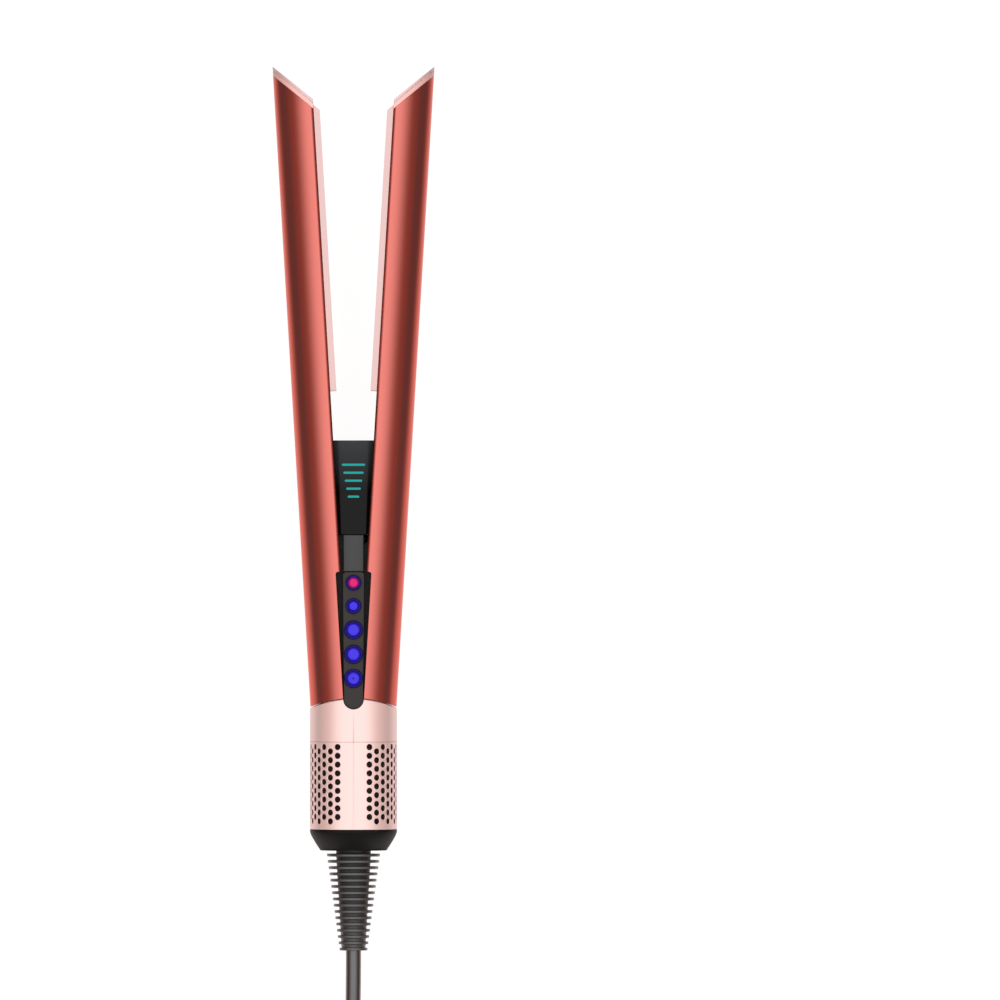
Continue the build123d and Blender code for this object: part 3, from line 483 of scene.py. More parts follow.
def material(name, color, roughness, metallic=0.0, spread=0.06, grain=0.4, bump=0.15,
             depth=0.00003, coat=0.0, sheen=0.0, specular=0.5, tint=(1, 1, 1),
             stretch=(1, 1, 1), rough_spread=0.05, emission=None):
    """Principled surface whose colour, roughness and fine relief vary with a noise.

    grain is the size of the relief's grains in millimetres.
    """
    made = bpy.data.materials.new(name)
    made.use_nodes = True
    tree = made.node_tree
    nodes, links = tree.nodes, tree.links
    shader = nodes["Principled BSDF"]
    settings = {"Metallic": metallic, "Coat Weight": coat, "Coat Roughness": 0.08,
                "Sheen Weight": sheen, "Specular IOR Level": specular, "Specular Tint": (*tint, 1)}
    if emission:
        settings["Emission Color"] = (*emission[0], 1)
        settings["Emission Strength"] = emission[1]
    for socket, value in settings.items():
        shader.inputs[socket].default_value = value
    mapping = nodes.new("ShaderNodeMapping")
    mapping.inputs["Scale"].default_value = stretch
    links.new(nodes.new("ShaderNodeTexCoord").outputs["Object"], mapping.inputs["Vector"])

    cloud = noise(tree, mapping.outputs["Vector"], 45.0, 4.0)
    fine = noise(tree, mapping.outputs["Vector"], 1 / (grain * MM), 3.0)
    average = math_node(tree, "MULTIPLY_ADD", cloud, 0.5, math_node(tree, "MULTIPLY", fine, 0.5))
    dark = [channel * (1 - spread) for channel in color]
    light = [min(1, channel * (1 + spread)) for channel in color]
    links.new(mix_colors(tree, average, dark, light), shader.inputs["Base Color"])
    rough = map_range(tree, cloud, (0.0, 1.0), (roughness - rough_spread, roughness + rough_spread))
    links.new(rough.outputs["Result"], shader.inputs["Roughness"])

    relief = nodes.new("ShaderNodeBump")
    relief.inputs["Strength"].default_value = bump
    relief.inputs["Distance"].default_value = depth
    links.new(fine, relief.inputs["Height"])
    links.new(relief.outputs["Normal"], shader.inputs["Normal"])
    return made


def woven(name, color, pitch):
    """Fabric with crossing threads this far apart, in millimetres."""
    made = material(name, color, 0.85, spread=0.2, grain=0.25, bump=0.4, sheen=0.35)
    tree = made.node_tree
    nodes, links = tree.nodes, tree.links
    heights = []
    for direction in ("X", "Y"):
        threads = nodes.new("ShaderNodeTexWave")
        threads.bands_direction = direction
        threads.inputs["Scale"].default_value = 1 / (pitch * MM) / 6.28
        threads.inputs["Distortion"].default_value = 0.4
        links.new(nodes["Mapping"].outputs["Vector"], threads.inputs["Vector"])
        heights.append(threads.outputs["Fac"])
    weave = nodes.new("ShaderNodeBump")
    weave.inputs["Strength"].default_value = 0.7
    weave.inputs["Distance"].default_value = 0.0002
    links.new(math_node(tree, "MULTIPLY", *heights), weave.inputs["Height"])
    links.new(nodes["Bump"].outputs["Normal"], weave.inputs["Normal"])
    links.new(weave.outputs["Normal"], nodes["Principled BSDF"].inputs["Normal"])
    return made


# relief and spread that several finishes share
BRUSHED = {"grain": 0.12, "depth": 0.00001}
MOULDED = {"bump": 0.18, "depth": 0.00002}
DARK = {"grain": 0.22, "bump": 0.22, "depth": 0.00002, "spread": 0.10}
GLOSSY = {"spread": 0.08, "grain": 0.5, "bump": 0.04}

CORAL = material("coral_metal", (0.51, 0.139, 0.117), 0.27, metallic=1.0, spread=0.035, bump=0.10,
                 stretch=(1, 0.25, 1), rough_spread=0.02, tint=(1, 0.55, 0.5), **BRUSHED)
DISH = material("coral_dish", (0.50, 0.13, 0.10), 0.34, metallic=1.0, spread=0.04, bump=0.12,
                rough_spread=0.03, **BRUSHED)
BLUSH = material("blush_plastic", (0.73, 0.53, 0.515), 0.48, spread=0.02, grain=0.35, specular=0.4,
                 **MOULDED)
BLUSH_METAL = material("blush_metal", (0.84, 0.625, 0.595), 0.34, metallic=0.25, spread=0.03,
                       grain=0.10, depth=0.00001)
# near-black colour for the walls of the sleeve's holes: painted shade inside the holes
HOLE_PAINTED_SHADE = material("hole_painted_shade", (0.060, 0.028, 0.026), 0.6, spread=0.1, grain=0.3, specular=0.2)
BLUSH_TIP = material("tip_plastic", (0.90, 0.55, 0.52), 0.45, spread=0.02, grain=0.35, **MOULDED)
LID = material("lid_plastic", (0.74, 0.56, 0.555), 0.38, spread=0.03, grain=0.3, depth=0.00002)
INNER = material("inner_plastic", (0.012, 0.011, 0.011), 0.5, spread=0.15, grain=0.5, bump=0.25,
                 specular=0.2)
GREY = material("grey_plastic", (0.022, 0.0185, 0.017), 0.42, specular=0.25, **DARK)
STEM = material("stem_plastic", (0.040, 0.042, 0.044), 0.42, specular=0.3, **DARK)
BLACK = material("black_plastic", (0.009, 0.0105, 0.010), 0.5, spread=0.15, grain=0.25, bump=0.2,
                 depth=0.00002, specular=0.05)
# the pale glass colour is a painted reflection, mixed in towards the window's top
GLASS_DARK, GLASS_REFLECTION_PAINT = (0.002, 0.002, 0.002), (0.030, 0.036, 0.038)
GLASS = material("display_glass", GLASS_DARK, 0.07, spread=0.1, grain=2.0, bump=0.01,
                 depth=0.000005, rough_spread=0.015, specular=0.12)
GLYPH = material("display_glyph", (0.0, 0.10, 0.095), 0.4, spread=0.05, specular=0.1,
                 emission=((0.02, 0.55, 0.50), 0.5))
RUBBER = material("black_rubber", (0.044, 0.046, 0.046), 0.38, spread=0.2, grain=0.3, bump=0.3,
                  specular=0.8)
JACKET = material("cord_jacket", (0.010, 0.010, 0.010), 0.30, spread=0.15, grain=0.6, bump=0.2,
                  specular=1.0, coat=0.6)
BLUE = material("blue_button", (0.030, 0.014, 0.76), 0.22, rough_spread=0.03, specular=0.3, **GLOSSY)
BLUE_RIM = material("blue_button_rim", (0.006, 0.001, 0.15), 0.30, specular=0.15, **GLOSSY)
# darker copy of the blue: painted shade on the outer ring of each dome, also used for the dark dot in the
# power button's middle
BLUE_PAINTED_SHADE_AND_DOT = material("blue_button_painted_shade_and_dot", (0.014, 0.005, 0.42), 0.25, rough_spread=0.03,
                     specular=0.2, **GLOSSY)
MAGENTA = material("magenta_button", (0.66, 0.004, 0.15), 0.24, rough_spread=0.03, specular=0.2,
                   **GLOSSY)
# darker copy of the magenta: painted shade on the outer ring of the mode button's dome
MAGENTA_PAINTED_SHADE = material("magenta_button_painted_shade", (0.34, 0.004, 0.16), 0.25, rough_spread=0.03,
                        specular=0.2, **GLOSSY)
STEEL = material("steel", (0.55, 0.55, 0.57), 0.28, metallic=1.0, spread=0.08, grain=0.3,
                 stretch=(1, 1, 0.2))
ALUMINIUM = material("motor_aluminium", (0.62, 0.62, 0.64), 0.32, metallic=1.0, grain=0.25, bump=0.2)
BRASS = material("brass", (0.62, 0.60, 0.55), 0.22, metallic=1.0, grain=0.3, bump=0.08)
MICA = material("heater", (0.42, 0.36, 0.25), 0.4, metallic=0.4, spread=0.25, grain=1.2, bump=0.3)
BOARD = material("circuit_board", (0.015, 0.11, 0.05), 0.35, spread=0.2, grain=0.9, bump=0.2, coat=0.3)
MESH = woven("filter_mesh", (0.022, 0.014, 0.014), 0.45)
TIE = woven("tie_fabric", (0.018, 0.018, 0.019), 0.8)


# ---- arms, drawn closed and on the right-hand side -----------------------------------------
def guard_ring(x, centre, radius):
    return [(x, y, z) for y, z in circle(centre, radius, 144)]


def behind(z):
    """Everything behind the level z."""
    reach = 400.0
    return box((-reach, reach), (-reach, reach), (-reach, z))


def guard_blank(*outer):
    """The thumb guard's flared outside, continued through any outer rings."""
    blank = loft([guard_ring(GUARD_BASE_X, GUARD_BASE_CENTRE, GUARD_BASE_RADIUS),
                  guard_ring(GUARD_RIM_X, GUARD_RIM_CENTRE, GUARD_RIM_RADIUS), *outer])
    return cut(blank, behind(GUARD_TOP_Z), operation="INTERSECT")


def guard_clearance():
    """The guard, carried out past the arm, as a cutter."""
    return guard_blank(guard_ring(2 * ARM_HALF_WIDTH, GUARD_RIM_CENTRE, GUARD_RIM_RADIUS))


def dish_ball(radius):
    """Ball whose lowest point is the bottom of the thumb dish."""
    mesh = bpy.data.meshes.new("ball")
    work = bmesh.new()
    bmesh.ops.create_uvsphere(work, u_segments=128, v_segments=80, radius=radius)
    work.to_mesh(mesh)
    work.free()
    centre = (DISH_DEPTH_X + DISH_RADIUS, *GUARD_RIM_CENTRE)
    mesh.transform(Matrix.Translation(centre) @ Matrix.Rotation(pi / 2, 4, "Y"))
    return add("ball", mesh)


def hand_guard():
    guard = cut(guard_blank(), dish_ball(DISH_RADIUS))
    place_pair(guard, "thumb_guard", "blush_plastic", BLUSH, "hand_guard", bevel=0.45)


def guard_inlay():
    """Coral dish: a shell of the ball, open in front of a wall that leans in."""
    inlay = cut(dish_ball(DISH_RADIUS), guard_blank(), operation="INTERSECT")
    hollow = dish_ball(DISH_RADIUS - INLAY_THICKNESS)
    far = 60.0
    left, right = GUARD_RIM_X + 1 - far, GUARD_RIM_X + 1 + far
    lean = [(left, GUARD_TOP_Z - INLAY_WALL_SLOPE * far), (left, -far), (right, -far),
            (right, GUARD_TOP_Z + INLAY_WALL_SLOPE * far)]
    cut(hollow, prism(lean, 0, 2 * PLATE_FOOT, "Y"), operation="INTERSECT")
    limit = box((-far, GUARD_RIM_X - INLAY_SETBACK), (0, 2 * PLATE_FOOT), (-far, far))
    cut(inlay, hollow)
    cut(inlay, limit, operation="INTERSECT")
    place_pair(inlay, "thumb_dish", "coral_metal", DISH, "guard_inlay", bevel=0.2)


def foot_cut():
    """Everything below the arm's arched lower edge."""
    half = ARM_HALF_WIDTH + 1
    radius = (ARM_HALF_WIDTH ** 2 + ARM_FOOT_DROP ** 2) / (2 * ARM_FOOT_DROP)
    steps = 48
    arch = []
    for step in range(steps + 1):
        x = half - 2 * half * step / steps
        arch.append((x, ARM_FOOT - radius + sqrt(radius ** 2 - x ** 2)))
    return prism(arch + [(-half, ARM_FOOT - half), (half, ARM_FOOT - half)],
                 -2 * ARM_HALF_DEPTH, 2 * ARM_HALF_DEPTH, "Z")


def round_edge(start):
    """Rounded long edge of the shell, from the oval at this angle to the inner face."""
    x, z = oval_point(ARM_HALF_WIDTH, ARM_HALF_DEPTH, ARM_MIDDLE, start)
    side = 1 if start > 0 else -1
    steps = 8
    points = []
    for step in range(1, steps + 1):
        angle = radians(90 * step / steps)
        points.append((x - SHELL_ROUND * sin(angle), z - side * SHELL_ROUND * (1 - cos(angle))))
    return points


def arm_shell():
    """Half-oval casing, notched for the panel and the lock, with an arched foot."""
    inner_edge = angle_at_x(SHELL_WALL, SHELL_EDGE)
    round_start = angle_at_x(0, SHELL_EDGE + SHELL_ROUND)
    outline = round_edge(-round_start)[::-1] + arm_arc(0, -round_start, round_start)
    outline += round_edge(round_start) + arm_arc(SHELL_WALL, inner_edge, -inner_edge)
    below, far = ARM_FOOT - 2 * ARM_FOOT_DROP, 2 * ARM_HALF_DEPTH
    shell = prism(outline, below, ARM_TIP, "Y")

    def notch(top, low, high):
        corner = 1.0
        across = (-NOTCH_HALF_WIDTH, NOTCH_HALF_WIDTH)
        return prism(rounded(across, (2 * below, top), corner), low, high, "Z")

    front = notch(NOTCH_TOP, PANEL_BACK - SHELL_WALL, far)
    back = notch(TRACK_TOP + 1, -far, TRACK_FRONT + SHELL_WALL)
    trim = box((0, 2 * ARM_HALF_WIDTH), (GUARD_RIM_CENTRE[0], 2 * ARM_TIP), (-far, SHELL_TRIM))
    cut(shell, front, back, trim, guard_clearance(), foot_cut(), above_slope(LID_DROP + RIM_DROP))
    place_pair(shell, "arm_casing", "coral_metal", CORAL, "arm_shell", bevel=0.6)


def tip_slab(upper, lower):
    """Slice of the arm's full outline between two slanted planes."""
    outline = arm_arc(0, angle_at_z(0, SHELL_TRIM), angle_at_x(0, SHELL_EDGE))
    outline.append((SHELL_EDGE, SHELL_TRIM))
    slab = prism(outline, ARM_TIP - 3 * ARM_HALF_WIDTH, ARM_TIP + 1, "Y")
    return cut(slab, above_slope(upper), below_slope(lower))


def tips():
    place_pair(tip_slab(0, LID_DROP), "tip_cover", "blush_plastic", LID, "tip_lid", bevel=0.5)
    place_pair(tip_slab(LID_DROP, LID_DROP + RIM_DROP), "tip_band", "blush_plastic", BLUSH_TIP,
               "tip_rim", bevel=0.35)


def half_ellipse(inset, low_x, top_z, steps=96):
    """Outline of the flange's ellipse to the right of low_x and behind top_z."""
    width, depth = FLANGE_HALF_WIDTH - inset, FLANGE_HALF_DEPTH - inset
    first = -acos(low_x / width)
    last = asin((top_z - FLANGE_MIDDLE) / depth)
    outline = []
    for step in range(steps + 1):
        angle = first + (last - first) * step / steps
        outline.append((width * cos(angle), FLANGE_MIDDLE + depth * sin(angle)))
    return outline + [(low_x, top_z)]


def outlet_plate():
    """Slotted inner plate that widens behind the arm into a hollow rounded flange."""
    lip_top, thick = SHELL_TRIM + 4, SHELL_EDGE - 0.05
    plate = prism(half_ellipse(0, PLATE_FACE, SHELL_TRIM - 0.05), PLATE_FOOT, ARM_TIP, "Y")
    lip = prism(half_ellipse(FLANGE_WALL - 0.8, PLATE_FACE, lip_top), PLATE_FOOT, ARM_TIP, "Y")
    wall = box((PLATE_FACE, thick), (PLATE_FOOT, ARM_TIP), (SHELL_TRIM - 5, PLATE_FRONT))
    join(plate, lip, wall)
    cut(plate, above_slope(PLATE_TIP_DROP))
    cavity = prism(half_ellipse(FLANGE_WALL, thick, lip_top + 1), 0, ARM_TIP, "Y")
    cut(cavity, above_slope(PLATE_TIP_DROP + FLANGE_WALL))
    cut(plate, cavity, tip_slab(0, LID_DROP + RIM_DROP), guard_clearance())
    for row in SLOT_ROWS:
        for number in range(SLOT_COUNT):
            middle = PLATE_FOOT + 12 + SLOT_PITCH * number
            outline = rounded(around(middle, SLOT_LENGTH / 2), around(row, SLOT_HEIGHT / 2),
                              SLOT_HEIGHT / 2 - 0.01)
            cut(plate, prism(outline, -1, SHELL_EDGE + 1, "X"))
    place_pair(plate, "blowing_plate", "blush_plastic", BLUSH, "outlet_plate", bevel=0.3)


# ---- base ------------------------------------------------------------------------------------
def saddle(x):
    """Height of the collar's arched upper edge at x."""
    return COLLAR_TOP - COLLAR_SADDLE_RADIUS + sqrt(COLLAR_SADDLE_RADIUS ** 2 - x ** 2)


def collar():
    """Ring under the arms with an arched top, a notch for the panel and a front seam."""
    def rim(inset, y=None, drop=0.0):
        ring = []
        for x, z in oval(BASE_HALF_WIDTH - inset, BASE_HALF_DEPTH - inset):
            top = saddle(x) - drop
            height = top if y is None else y
            share = (COLLAR_TOP - height) / (COLLAR_TOP - COLLAR_FOOT)
            slim = 1 - (1 - share) * (1 - COLLAR_TOP_HALF_DEPTH / BASE_HALF_DEPTH)
            ring.append((x, height, z * slim))
        return ring

    edge, foot_edge, foot = 0.35, 0.08, (COLLAR_FOOT + 2 * CAGE_TOP) / 3
    rings = [rim(0, drop=edge), rim(0, foot + foot_edge), rim(foot_edge, foot),
             rim(COLLAR_WALL, foot), rim(COLLAR_WALL), rim(edge)]
    ring = loft(rings, closed=True)
    gap = 0.25
    half = PANEL_FOOT_HALF + gap + 0.05
    notch = rounded((-half, half), (PANEL_FOOT - gap, PANEL_TOP), half - 0.01, steps=16)
    seam_half, seam_depth = 0.16, 0.45
    seam = box((-seam_half, seam_half), (COLLAR_FOOT - 1, PANEL_FOOT),
               (BASE_HALF_DEPTH - seam_depth - 0.35, BASE_HALF_DEPTH + 1))
    cut(ring, prism(notch, PANEL_BACK - 1, 2 * BASE_HALF_DEPTH, "Z"), seam)
    place(ring, "base_collar", "base", "blush_metal", BLUSH_METAL, ("collar",))


def oval_walk(steps):
    """Points and outward directions at equal steps round the base oval from its front."""
    fine = 7200
    dense = [Vector(oval_point(BASE_HALF_WIDTH, BASE_HALF_DEPTH, 0, pi / 2 - 2 * pi * step / fine))
             for step in range(fine + 1)]
    total = sum((far - near).length for near, far in zip(dense, dense[1:]))
    walked, places = 0.0, []
    for near, far in zip(dense, dense[1:]):
        if walked >= len(places) * total / steps and len(places) < steps:
            along = (far - near).normalized()
            places.append((near, Vector((-along.y, along.x))))
        walked += (far - near).length
    return places


class CageMesh:
    """Perforated sleeve: a lattice of points with a round hole in each open cell."""
    SIDE = 6                 # lattice steps along one side of a cell

    def __init__(self):
        self.around = CAGE_COLUMNS * self.SIDE
        self.places = oval_walk(2 * self.around)
        self.points, self.faces, self.index, self.shaded_hole_faces = [], [], {}, []
        self.step = HOLE_ROW_PITCH / self.SIDE
        self.top = HOLE_TOP_ROW + HOLE_ROW_PITCH / 2

    def point(self, across, y, depth):
        """Point at a lattice place across, which may be a fraction, at height y."""
        place = (across - self.SIDE / 2) * 2
        low = int(place // 1)
        share = place - low
        (near, out), (far, far_out) = (self.places[n % len(self.places)] for n in (low, low + 1))
        spot = near.lerp(far, share) - out.lerp(far_out, share) * depth
        return (spot.x, y, spot.y)

    def vertex(self, across, row, depth):
        """Lattice point; row -1 is the sleeve's top edge and the last row its foot."""
        key = (across % self.around, row, depth)
        if key not in self.index:
            y = self.top - row * self.step
            if row < 0:
                y = CAGE_TOP
            if row > self.last_row():
                y = CAGE_FOOT
            self.index[key] = len(self.points)
            self.points.append(self.point(across, y, depth))
        return self.index[key]

    def last_row(self):
        return (HOLE_ROWS * self.SIDE) + self.SIDE // 2

    def quad(self, corners, flip):
        self.faces.append(tuple(reversed(corners)) if flip else tuple(corners))

    def plain(self, column, first, last, depth, flip):
        for across in range(column * self.SIDE, (column + 1) * self.SIDE):
            for row in range(first, last):
                corners = ((across, row), (across + 1, row), (across + 1, row + 1), (across, row + 1))
                self.quad([self.vertex(*corner, depth) for corner in corners], flip)

    def cell(self, column, first):
        """Square cell with a round hole that has a small chamfer outside."""
        side = self.SIDE
        left = column * side
        border = [(left + n, first) for n in range(side)]
        border += [(left + side, first + n) for n in range(side)]
        border += [(left + side - n, first + side) for n in range(side)]
        border += [(left, first + side - n) for n in range(side)]
        chamfer = 0.16
        levels = ((0.0, HOLE_RADIUS + chamfer), (chamfer, HOLE_RADIUS), (SLEEVE_WALL, HOLE_RADIUS))
        middle_y = self.top - (first + side / 2) * self.step
        column_width = self.width / CAGE_COLUMNS
        rings = [[self.vertex(across, row, 0.0) for across, row in border]]
        for depth, radius in levels:
            ring = []
            for across, row in border:
                angle = atan2(first + side / 2 - row, across - left - side / 2)
                shift = radius * cos(angle) / column_width * side
                ring.append(len(self.points))
                height = middle_y + radius * sin(angle)
                self.points.append(self.point(left + side / 2 + shift, height, depth))
            rings.append(ring)
        rings.append([self.vertex(across, row, SLEEVE_WALL) for across, row in border])
        for level, (near, far) in enumerate(zip(rings, rings[1:])):
            for step in range(len(border)):
                after = (step + 1) % len(border)
                # the hole's inner wall gets the dark colour: painted shade inside the hole
                if level == 2:
                    self.shaded_hole_faces.append(len(self.faces))
                self.quad([near[step], near[after], far[after], far[step]], False)

    def build(self):
        loop = [place for place, _ in self.places]
        self.width = sum((far - near).length for near, far in zip(loop, loop[1:] + loop[:1]))
        half, last = CAGE_COLUMNS // 2, self.last_row()
        for column in range(CAGE_COLUMNS):
            from_strip = min(column % half, half - column % half)
            if from_strip <= PLAIN_COLUMNS:
                for depth in (0.0, SLEEVE_WALL):
                    self.plain(column, -1, last + 1, depth, depth > 0)
                continue
            first = (from_strip % 2) * self.SIDE // 2
            end = first + HOLE_ROWS * self.SIDE
            for depth in (0.0, SLEEVE_WALL):
                self.plain(column, -1, first, depth, depth > 0)
                self.plain(column, end, last + 1, depth, depth > 0)
            for number in range(HOLE_ROWS):
                self.cell(column, first + number * self.SIDE)
        for across in range(self.around):
            for row in (-1, last + 1):
                outside = [self.vertex(step, row, 0.0) for step in (across, across + 1)]
                inside = [self.vertex(step, row, SLEEVE_WALL) for step in (across + 1, across)]
                self.quad(outside + inside, row < 0)
        sleeve = mesh_object(self.points, self.faces)
        for number in self.shaded_hole_faces:
            sleeve.data.polygons[number].material_index = 1
        return sleeve


def filter_sleeve():
    """The sleeve, with painted shade on the walls of its holes and a seam in line with the collar's."""
    sleeve = CageMesh().build()
    seam_half, seam_depth = 0.12, 0.3
    seam = box((-seam_half, seam_half), (CAGE_FOOT - 1, CAGE_TOP + 1),
               (BASE_HALF_DEPTH - seam_depth, BASE_HALF_DEPTH + 1))
    cut(sleeve, seam)
    place(sleeve, "filter_sleeve", "filter_cage", "blush_metal", BLUSH_METAL, ("filter_cage",),
          sharp=35)
    sleeve.data.materials.append(HOLE_PAINTED_SHADE)


def end_cap():
    """Black cap: an oval lip that tapers to a circle, with a round hole for the boot."""
    def ring(share, y, inset):
        """Outline that goes from the base oval, at share 0, to a circle, at share 1."""
        outline = []
        steps = 192
        for step in range(steps):
            angle = 2 * pi * (step + 0.5) / steps
            x, z = oval_point(BASE_HALF_WIDTH - inset, BASE_HALF_DEPTH - inset, 0, angle)
            heading = atan2(z, x)
            radius = CAP_FOOT_RADIUS - inset
            outline.append((x + share * (radius * cos(heading) - x), y,
                            z + share * (radius * sin(heading) - z)))
        return outline

    def round_ring(radius, y):
        return ring(1.0, y, CAP_FOOT_RADIUS - radius)

    lip, taper, edge = CAGE_FOOT - CAP_LIP, 10, 0.3
    rings = [ring(0, CAGE_FOOT, edge), ring(0, CAGE_FOOT - edge, 0), ring(0, lip, 0)]
    for step in range(1, taper + 1):
        share = step / taper
        rings.append(ring(share ** 1.25, lip + (CAP_FOOT + 0.6 - lip) * share, 0))
    turned = ((CAP_FOOT_RADIUS - 0.2, 0.15), (CAP_FOOT_RADIUS - 0.6, 0), (CAP_HOLE_RADIUS + 0.3, 0),
              (CAP_HOLE_RADIUS, 0.3), (CAP_HOLE_RADIUS, CAGE_WALL), (CAP_FOOT_RADIUS - 1.6, CAGE_WALL))
    rings += [round_ring(radius, CAP_FOOT + rise) for radius, rise in turned]
    rings += [ring(0, lip, CAGE_WALL), ring(0, CAGE_FOOT, CAGE_WALL)]
    cap = loft(rings, closed=True)
    place(cap, "base_cap", "filter_cage", "black_plastic", BLACK, ("end_cap",))


def strain_relief():
    """Rubber boot: a smooth neck, then fins that shrink towards the cord."""
    pitch = (RELIEF_FIRST_FIN - RELIEF_END - FIN_THICKNESS) / (RELIEF_FINS - 1)
    fin, soft = FIN_THICKNESS, 0.22
    profile = [(0.01, RELIEF_TOP), (RELIEF_NECK_RADIUS, RELIEF_TOP),
               (RELIEF_NECK_RADIUS, RELIEF_NECK_FOOT), (CORE_RADIUS_TOP, RELIEF_NECK_FOOT)]
    for number in range(RELIEF_FINS):
        top = RELIEF_FIRST_FIN - number * pitch
        radius = FIN_RADIUS_TOP + number / (RELIEF_FINS - 1) * (FIN_RADIUS_END - FIN_RADIUS_TOP)
        core = CORE_RADIUS_TOP + number / RELIEF_FINS * (CORE_RADIUS_END - CORE_RADIUS_TOP)
        corner = soft * 0.3
        profile += [(core, top + soft), (core + soft, top), (radius - soft, top)]
        profile += [(radius - corner, top - corner), (radius, top - soft)]
        profile += [(radius, top - fin + soft), (radius - corner, top - fin + corner)]
        profile.append((radius - soft, top - fin))
        if number < RELIEF_FINS - 1:
            profile += [(core + soft, top - fin), (core, top - fin - soft)]
    profile += [(CORD_DIAMETER / 2 + 0.1, RELIEF_END), (0.01, RELIEF_END)]
    boot = lathe(profile, steps=80)
    place(boot, "cord_boot", "base", "black_rubber", RUBBER, ("strain_relief",), sharp=50)


# ---- controls ----------------------------------------------------------------------------------
def control_stem():
    """Grey stem behind the buttons that carries the display."""
    stem = box(around(0, STEM_HALF_WIDTH - 0.55), (DECK_TOP, STEM_TOP), (CARRIER_BACK, CARRIER_FRONT))
    crown, steps = 0.5, 12
    outline = [(-STEM_HALF_WIDTH, CARRIER_BACK), (STEM_HALF_WIDTH, CARRIER_BACK),
               (STEM_HALF_WIDTH, STEM_FRONT - crown)]
    for step in range(1, steps):
        across = 1 - 2 * step / steps
        outline.append((STEM_HALF_WIDTH * across, STEM_FRONT - crown * abs(across) ** 2.5))
    outline.append((-STEM_HALF_WIDTH, STEM_FRONT - crown))
    plate = box(around(0, PLATE_HALF), (PLATE_LOW, DISPLAY_FOOT - 0.01),
                (CARRIER_BACK, CARRIER_BACK + PLATE_THICKNESS))
    join(stem, plate, prism(outline, PANEL_TOP + 0.3, STEM_TOP, "Y"))
    place(stem, "control_stem", "base", "grey_plastic", STEM, ("control_carrier",), bevel=0.25)
    # painted shade: faces at the stem's back and its back plate get the near-black inner plastic, for the
    # shade deep in the gaps beside the stem
    stem.data.materials.append(INNER)
    flatten = LAY.inverted()
    for face in stem.data.polygons:
        if (flatten @ face.center).z < CARRIER_BACK + PLATE_THICKNESS + 0.2:
            face.material_index = 1


def control_panel():
    """Tongue-shaped plate with a countersunk hole for each button."""
    steps = 24
    corner = 0.8
    outline = [(-PANEL_HALF_WIDTH, PANEL_TOP - corner), (-PANEL_HALF_WIDTH + corner, PANEL_TOP),
               (PANEL_HALF_WIDTH - corner, PANEL_TOP), (PANEL_HALF_WIDTH, PANEL_TOP - corner)]
    for step in range(steps + 1):
        angle = -pi * step / steps
        outline.append((PANEL_FOOT_HALF * cos(angle), PANEL_FOOT + PANEL_FOOT_HALF * (1 + sin(angle))))
    panel = prism(outline, PANEL_BACK, PANEL_FRONT, "Z")
    seat_depth, seat_gap = 0.5, 0.35
    for y, radius in BUTTONS.values():
        hole = prism(circle((0, y), BUTTON_HOLE_RADIUS, 64), 0, 2 * PANEL_FRONT, "Z")
        seat = loft([[(x, v, PANEL_FRONT - seat_depth) for x, v in circle((0, y), radius - seat_gap, 64)],
                     [(x, v, PANEL_FRONT + 0.01) for x, v in circle((0, y), radius + seat_gap * 0.6, 64)]])
        cut(panel, hole, seat)
    place(panel, "button_panel", "base", "grey_plastic", GREY, ("control_panel",), bevel=0.35)


def button(name, y, radius):
    """Cap with a darker rolled rim round a glossy dome, on a stem; the dome's outer ring has painted
    shade.
    """
    back, rim = PANEL_FRONT + BUTTON_GAP, 0.85
    dome_radius, dome_foot = radius - rim, back + 0.42
    dome_rise = BUTTON_DOME - 0.42
    stem_back = CARRIER_FRONT + 2
    profile = [(0.01, stem_back), (BUTTON_STEM_RADIUS, stem_back), (BUTTON_STEM_RADIUS, back)]
    profile += [(radius - 0.25, back), (radius, back + 0.2), (radius, back + 0.5)]
    rolled, domed, steps = 6, 10, 64
    for step in range(1, rolled + 1):
        angle = pi * step / rolled
        profile.append((radius - rim / 2 + rim / 2 * cos(angle), back + 0.5 + 0.28 * sin(angle)))
    profile.append((dome_radius, dome_foot))
    for step in range(domed):
        angle = step / domed * pi / 2
        profile.append((dome_radius * cos(angle) ** 0.9, dome_foot + dome_rise * sin(angle)))
    profile.append((0.01, back + BUTTON_DOME))
    cap = loft([[(u, v, z) for u, v in circle((0, y), distance, steps)] for distance, z in profile])
    is_mode = name == "mode_button"
    place(cap, name + "_cap", name, "magenta_button" if is_mode else "blue_buttons",
          MAGENTA if is_mode else BLUE, (name,), sharp=60)
    cap.data.materials.append(BLUE_RIM)
    cap.data.materials.append(MAGENTA_PAINTED_SHADE if is_mode else BLUE_PAINTED_SHADE_AND_DOT)
    # faces beyond 0.72 of the dome's radius get the darker copy of the cap colour, painted shade towards
    # the dome's edge; the power button also gets a dark dot in its middle in that colour
    edge, dot = 0.72 * dome_radius, 0.5 if name == "power_button" else 0.0
    middle = LAY @ Vector((0, y, 0))
    for face in cap.data.polygons:
        away = face.center - middle
        away -= UP * away.dot(UP)
        if away.length > (dome_radius + 0.02) * MM:
            face.material_index = 1
        elif not dot * MM < away.length < edge * MM:
            face.material_index = 2


def paint_glass_reflection():
    """Paint a reflection into the window: its colour pales towards its top."""
    tree = GLASS.node_tree
    height = separate(tree, tree.nodes["Texture Coordinate"], "Object")["Y"]
    low, high = ((LAY @ Vector((0, y, 0))).y for y in (DISPLAY_TOP - REFLECTION_FADE_SPAN, DISPLAY_TOP))
    reflection_share = map_range(tree, height, (low, high)).outputs["Result"]
    tree.links.new(mix_colors(tree, reflection_share, GLASS_DARK, GLASS_REFLECTION_PAINT),
                   tree.nodes["Principled BSDF"].inputs["Base Color"])


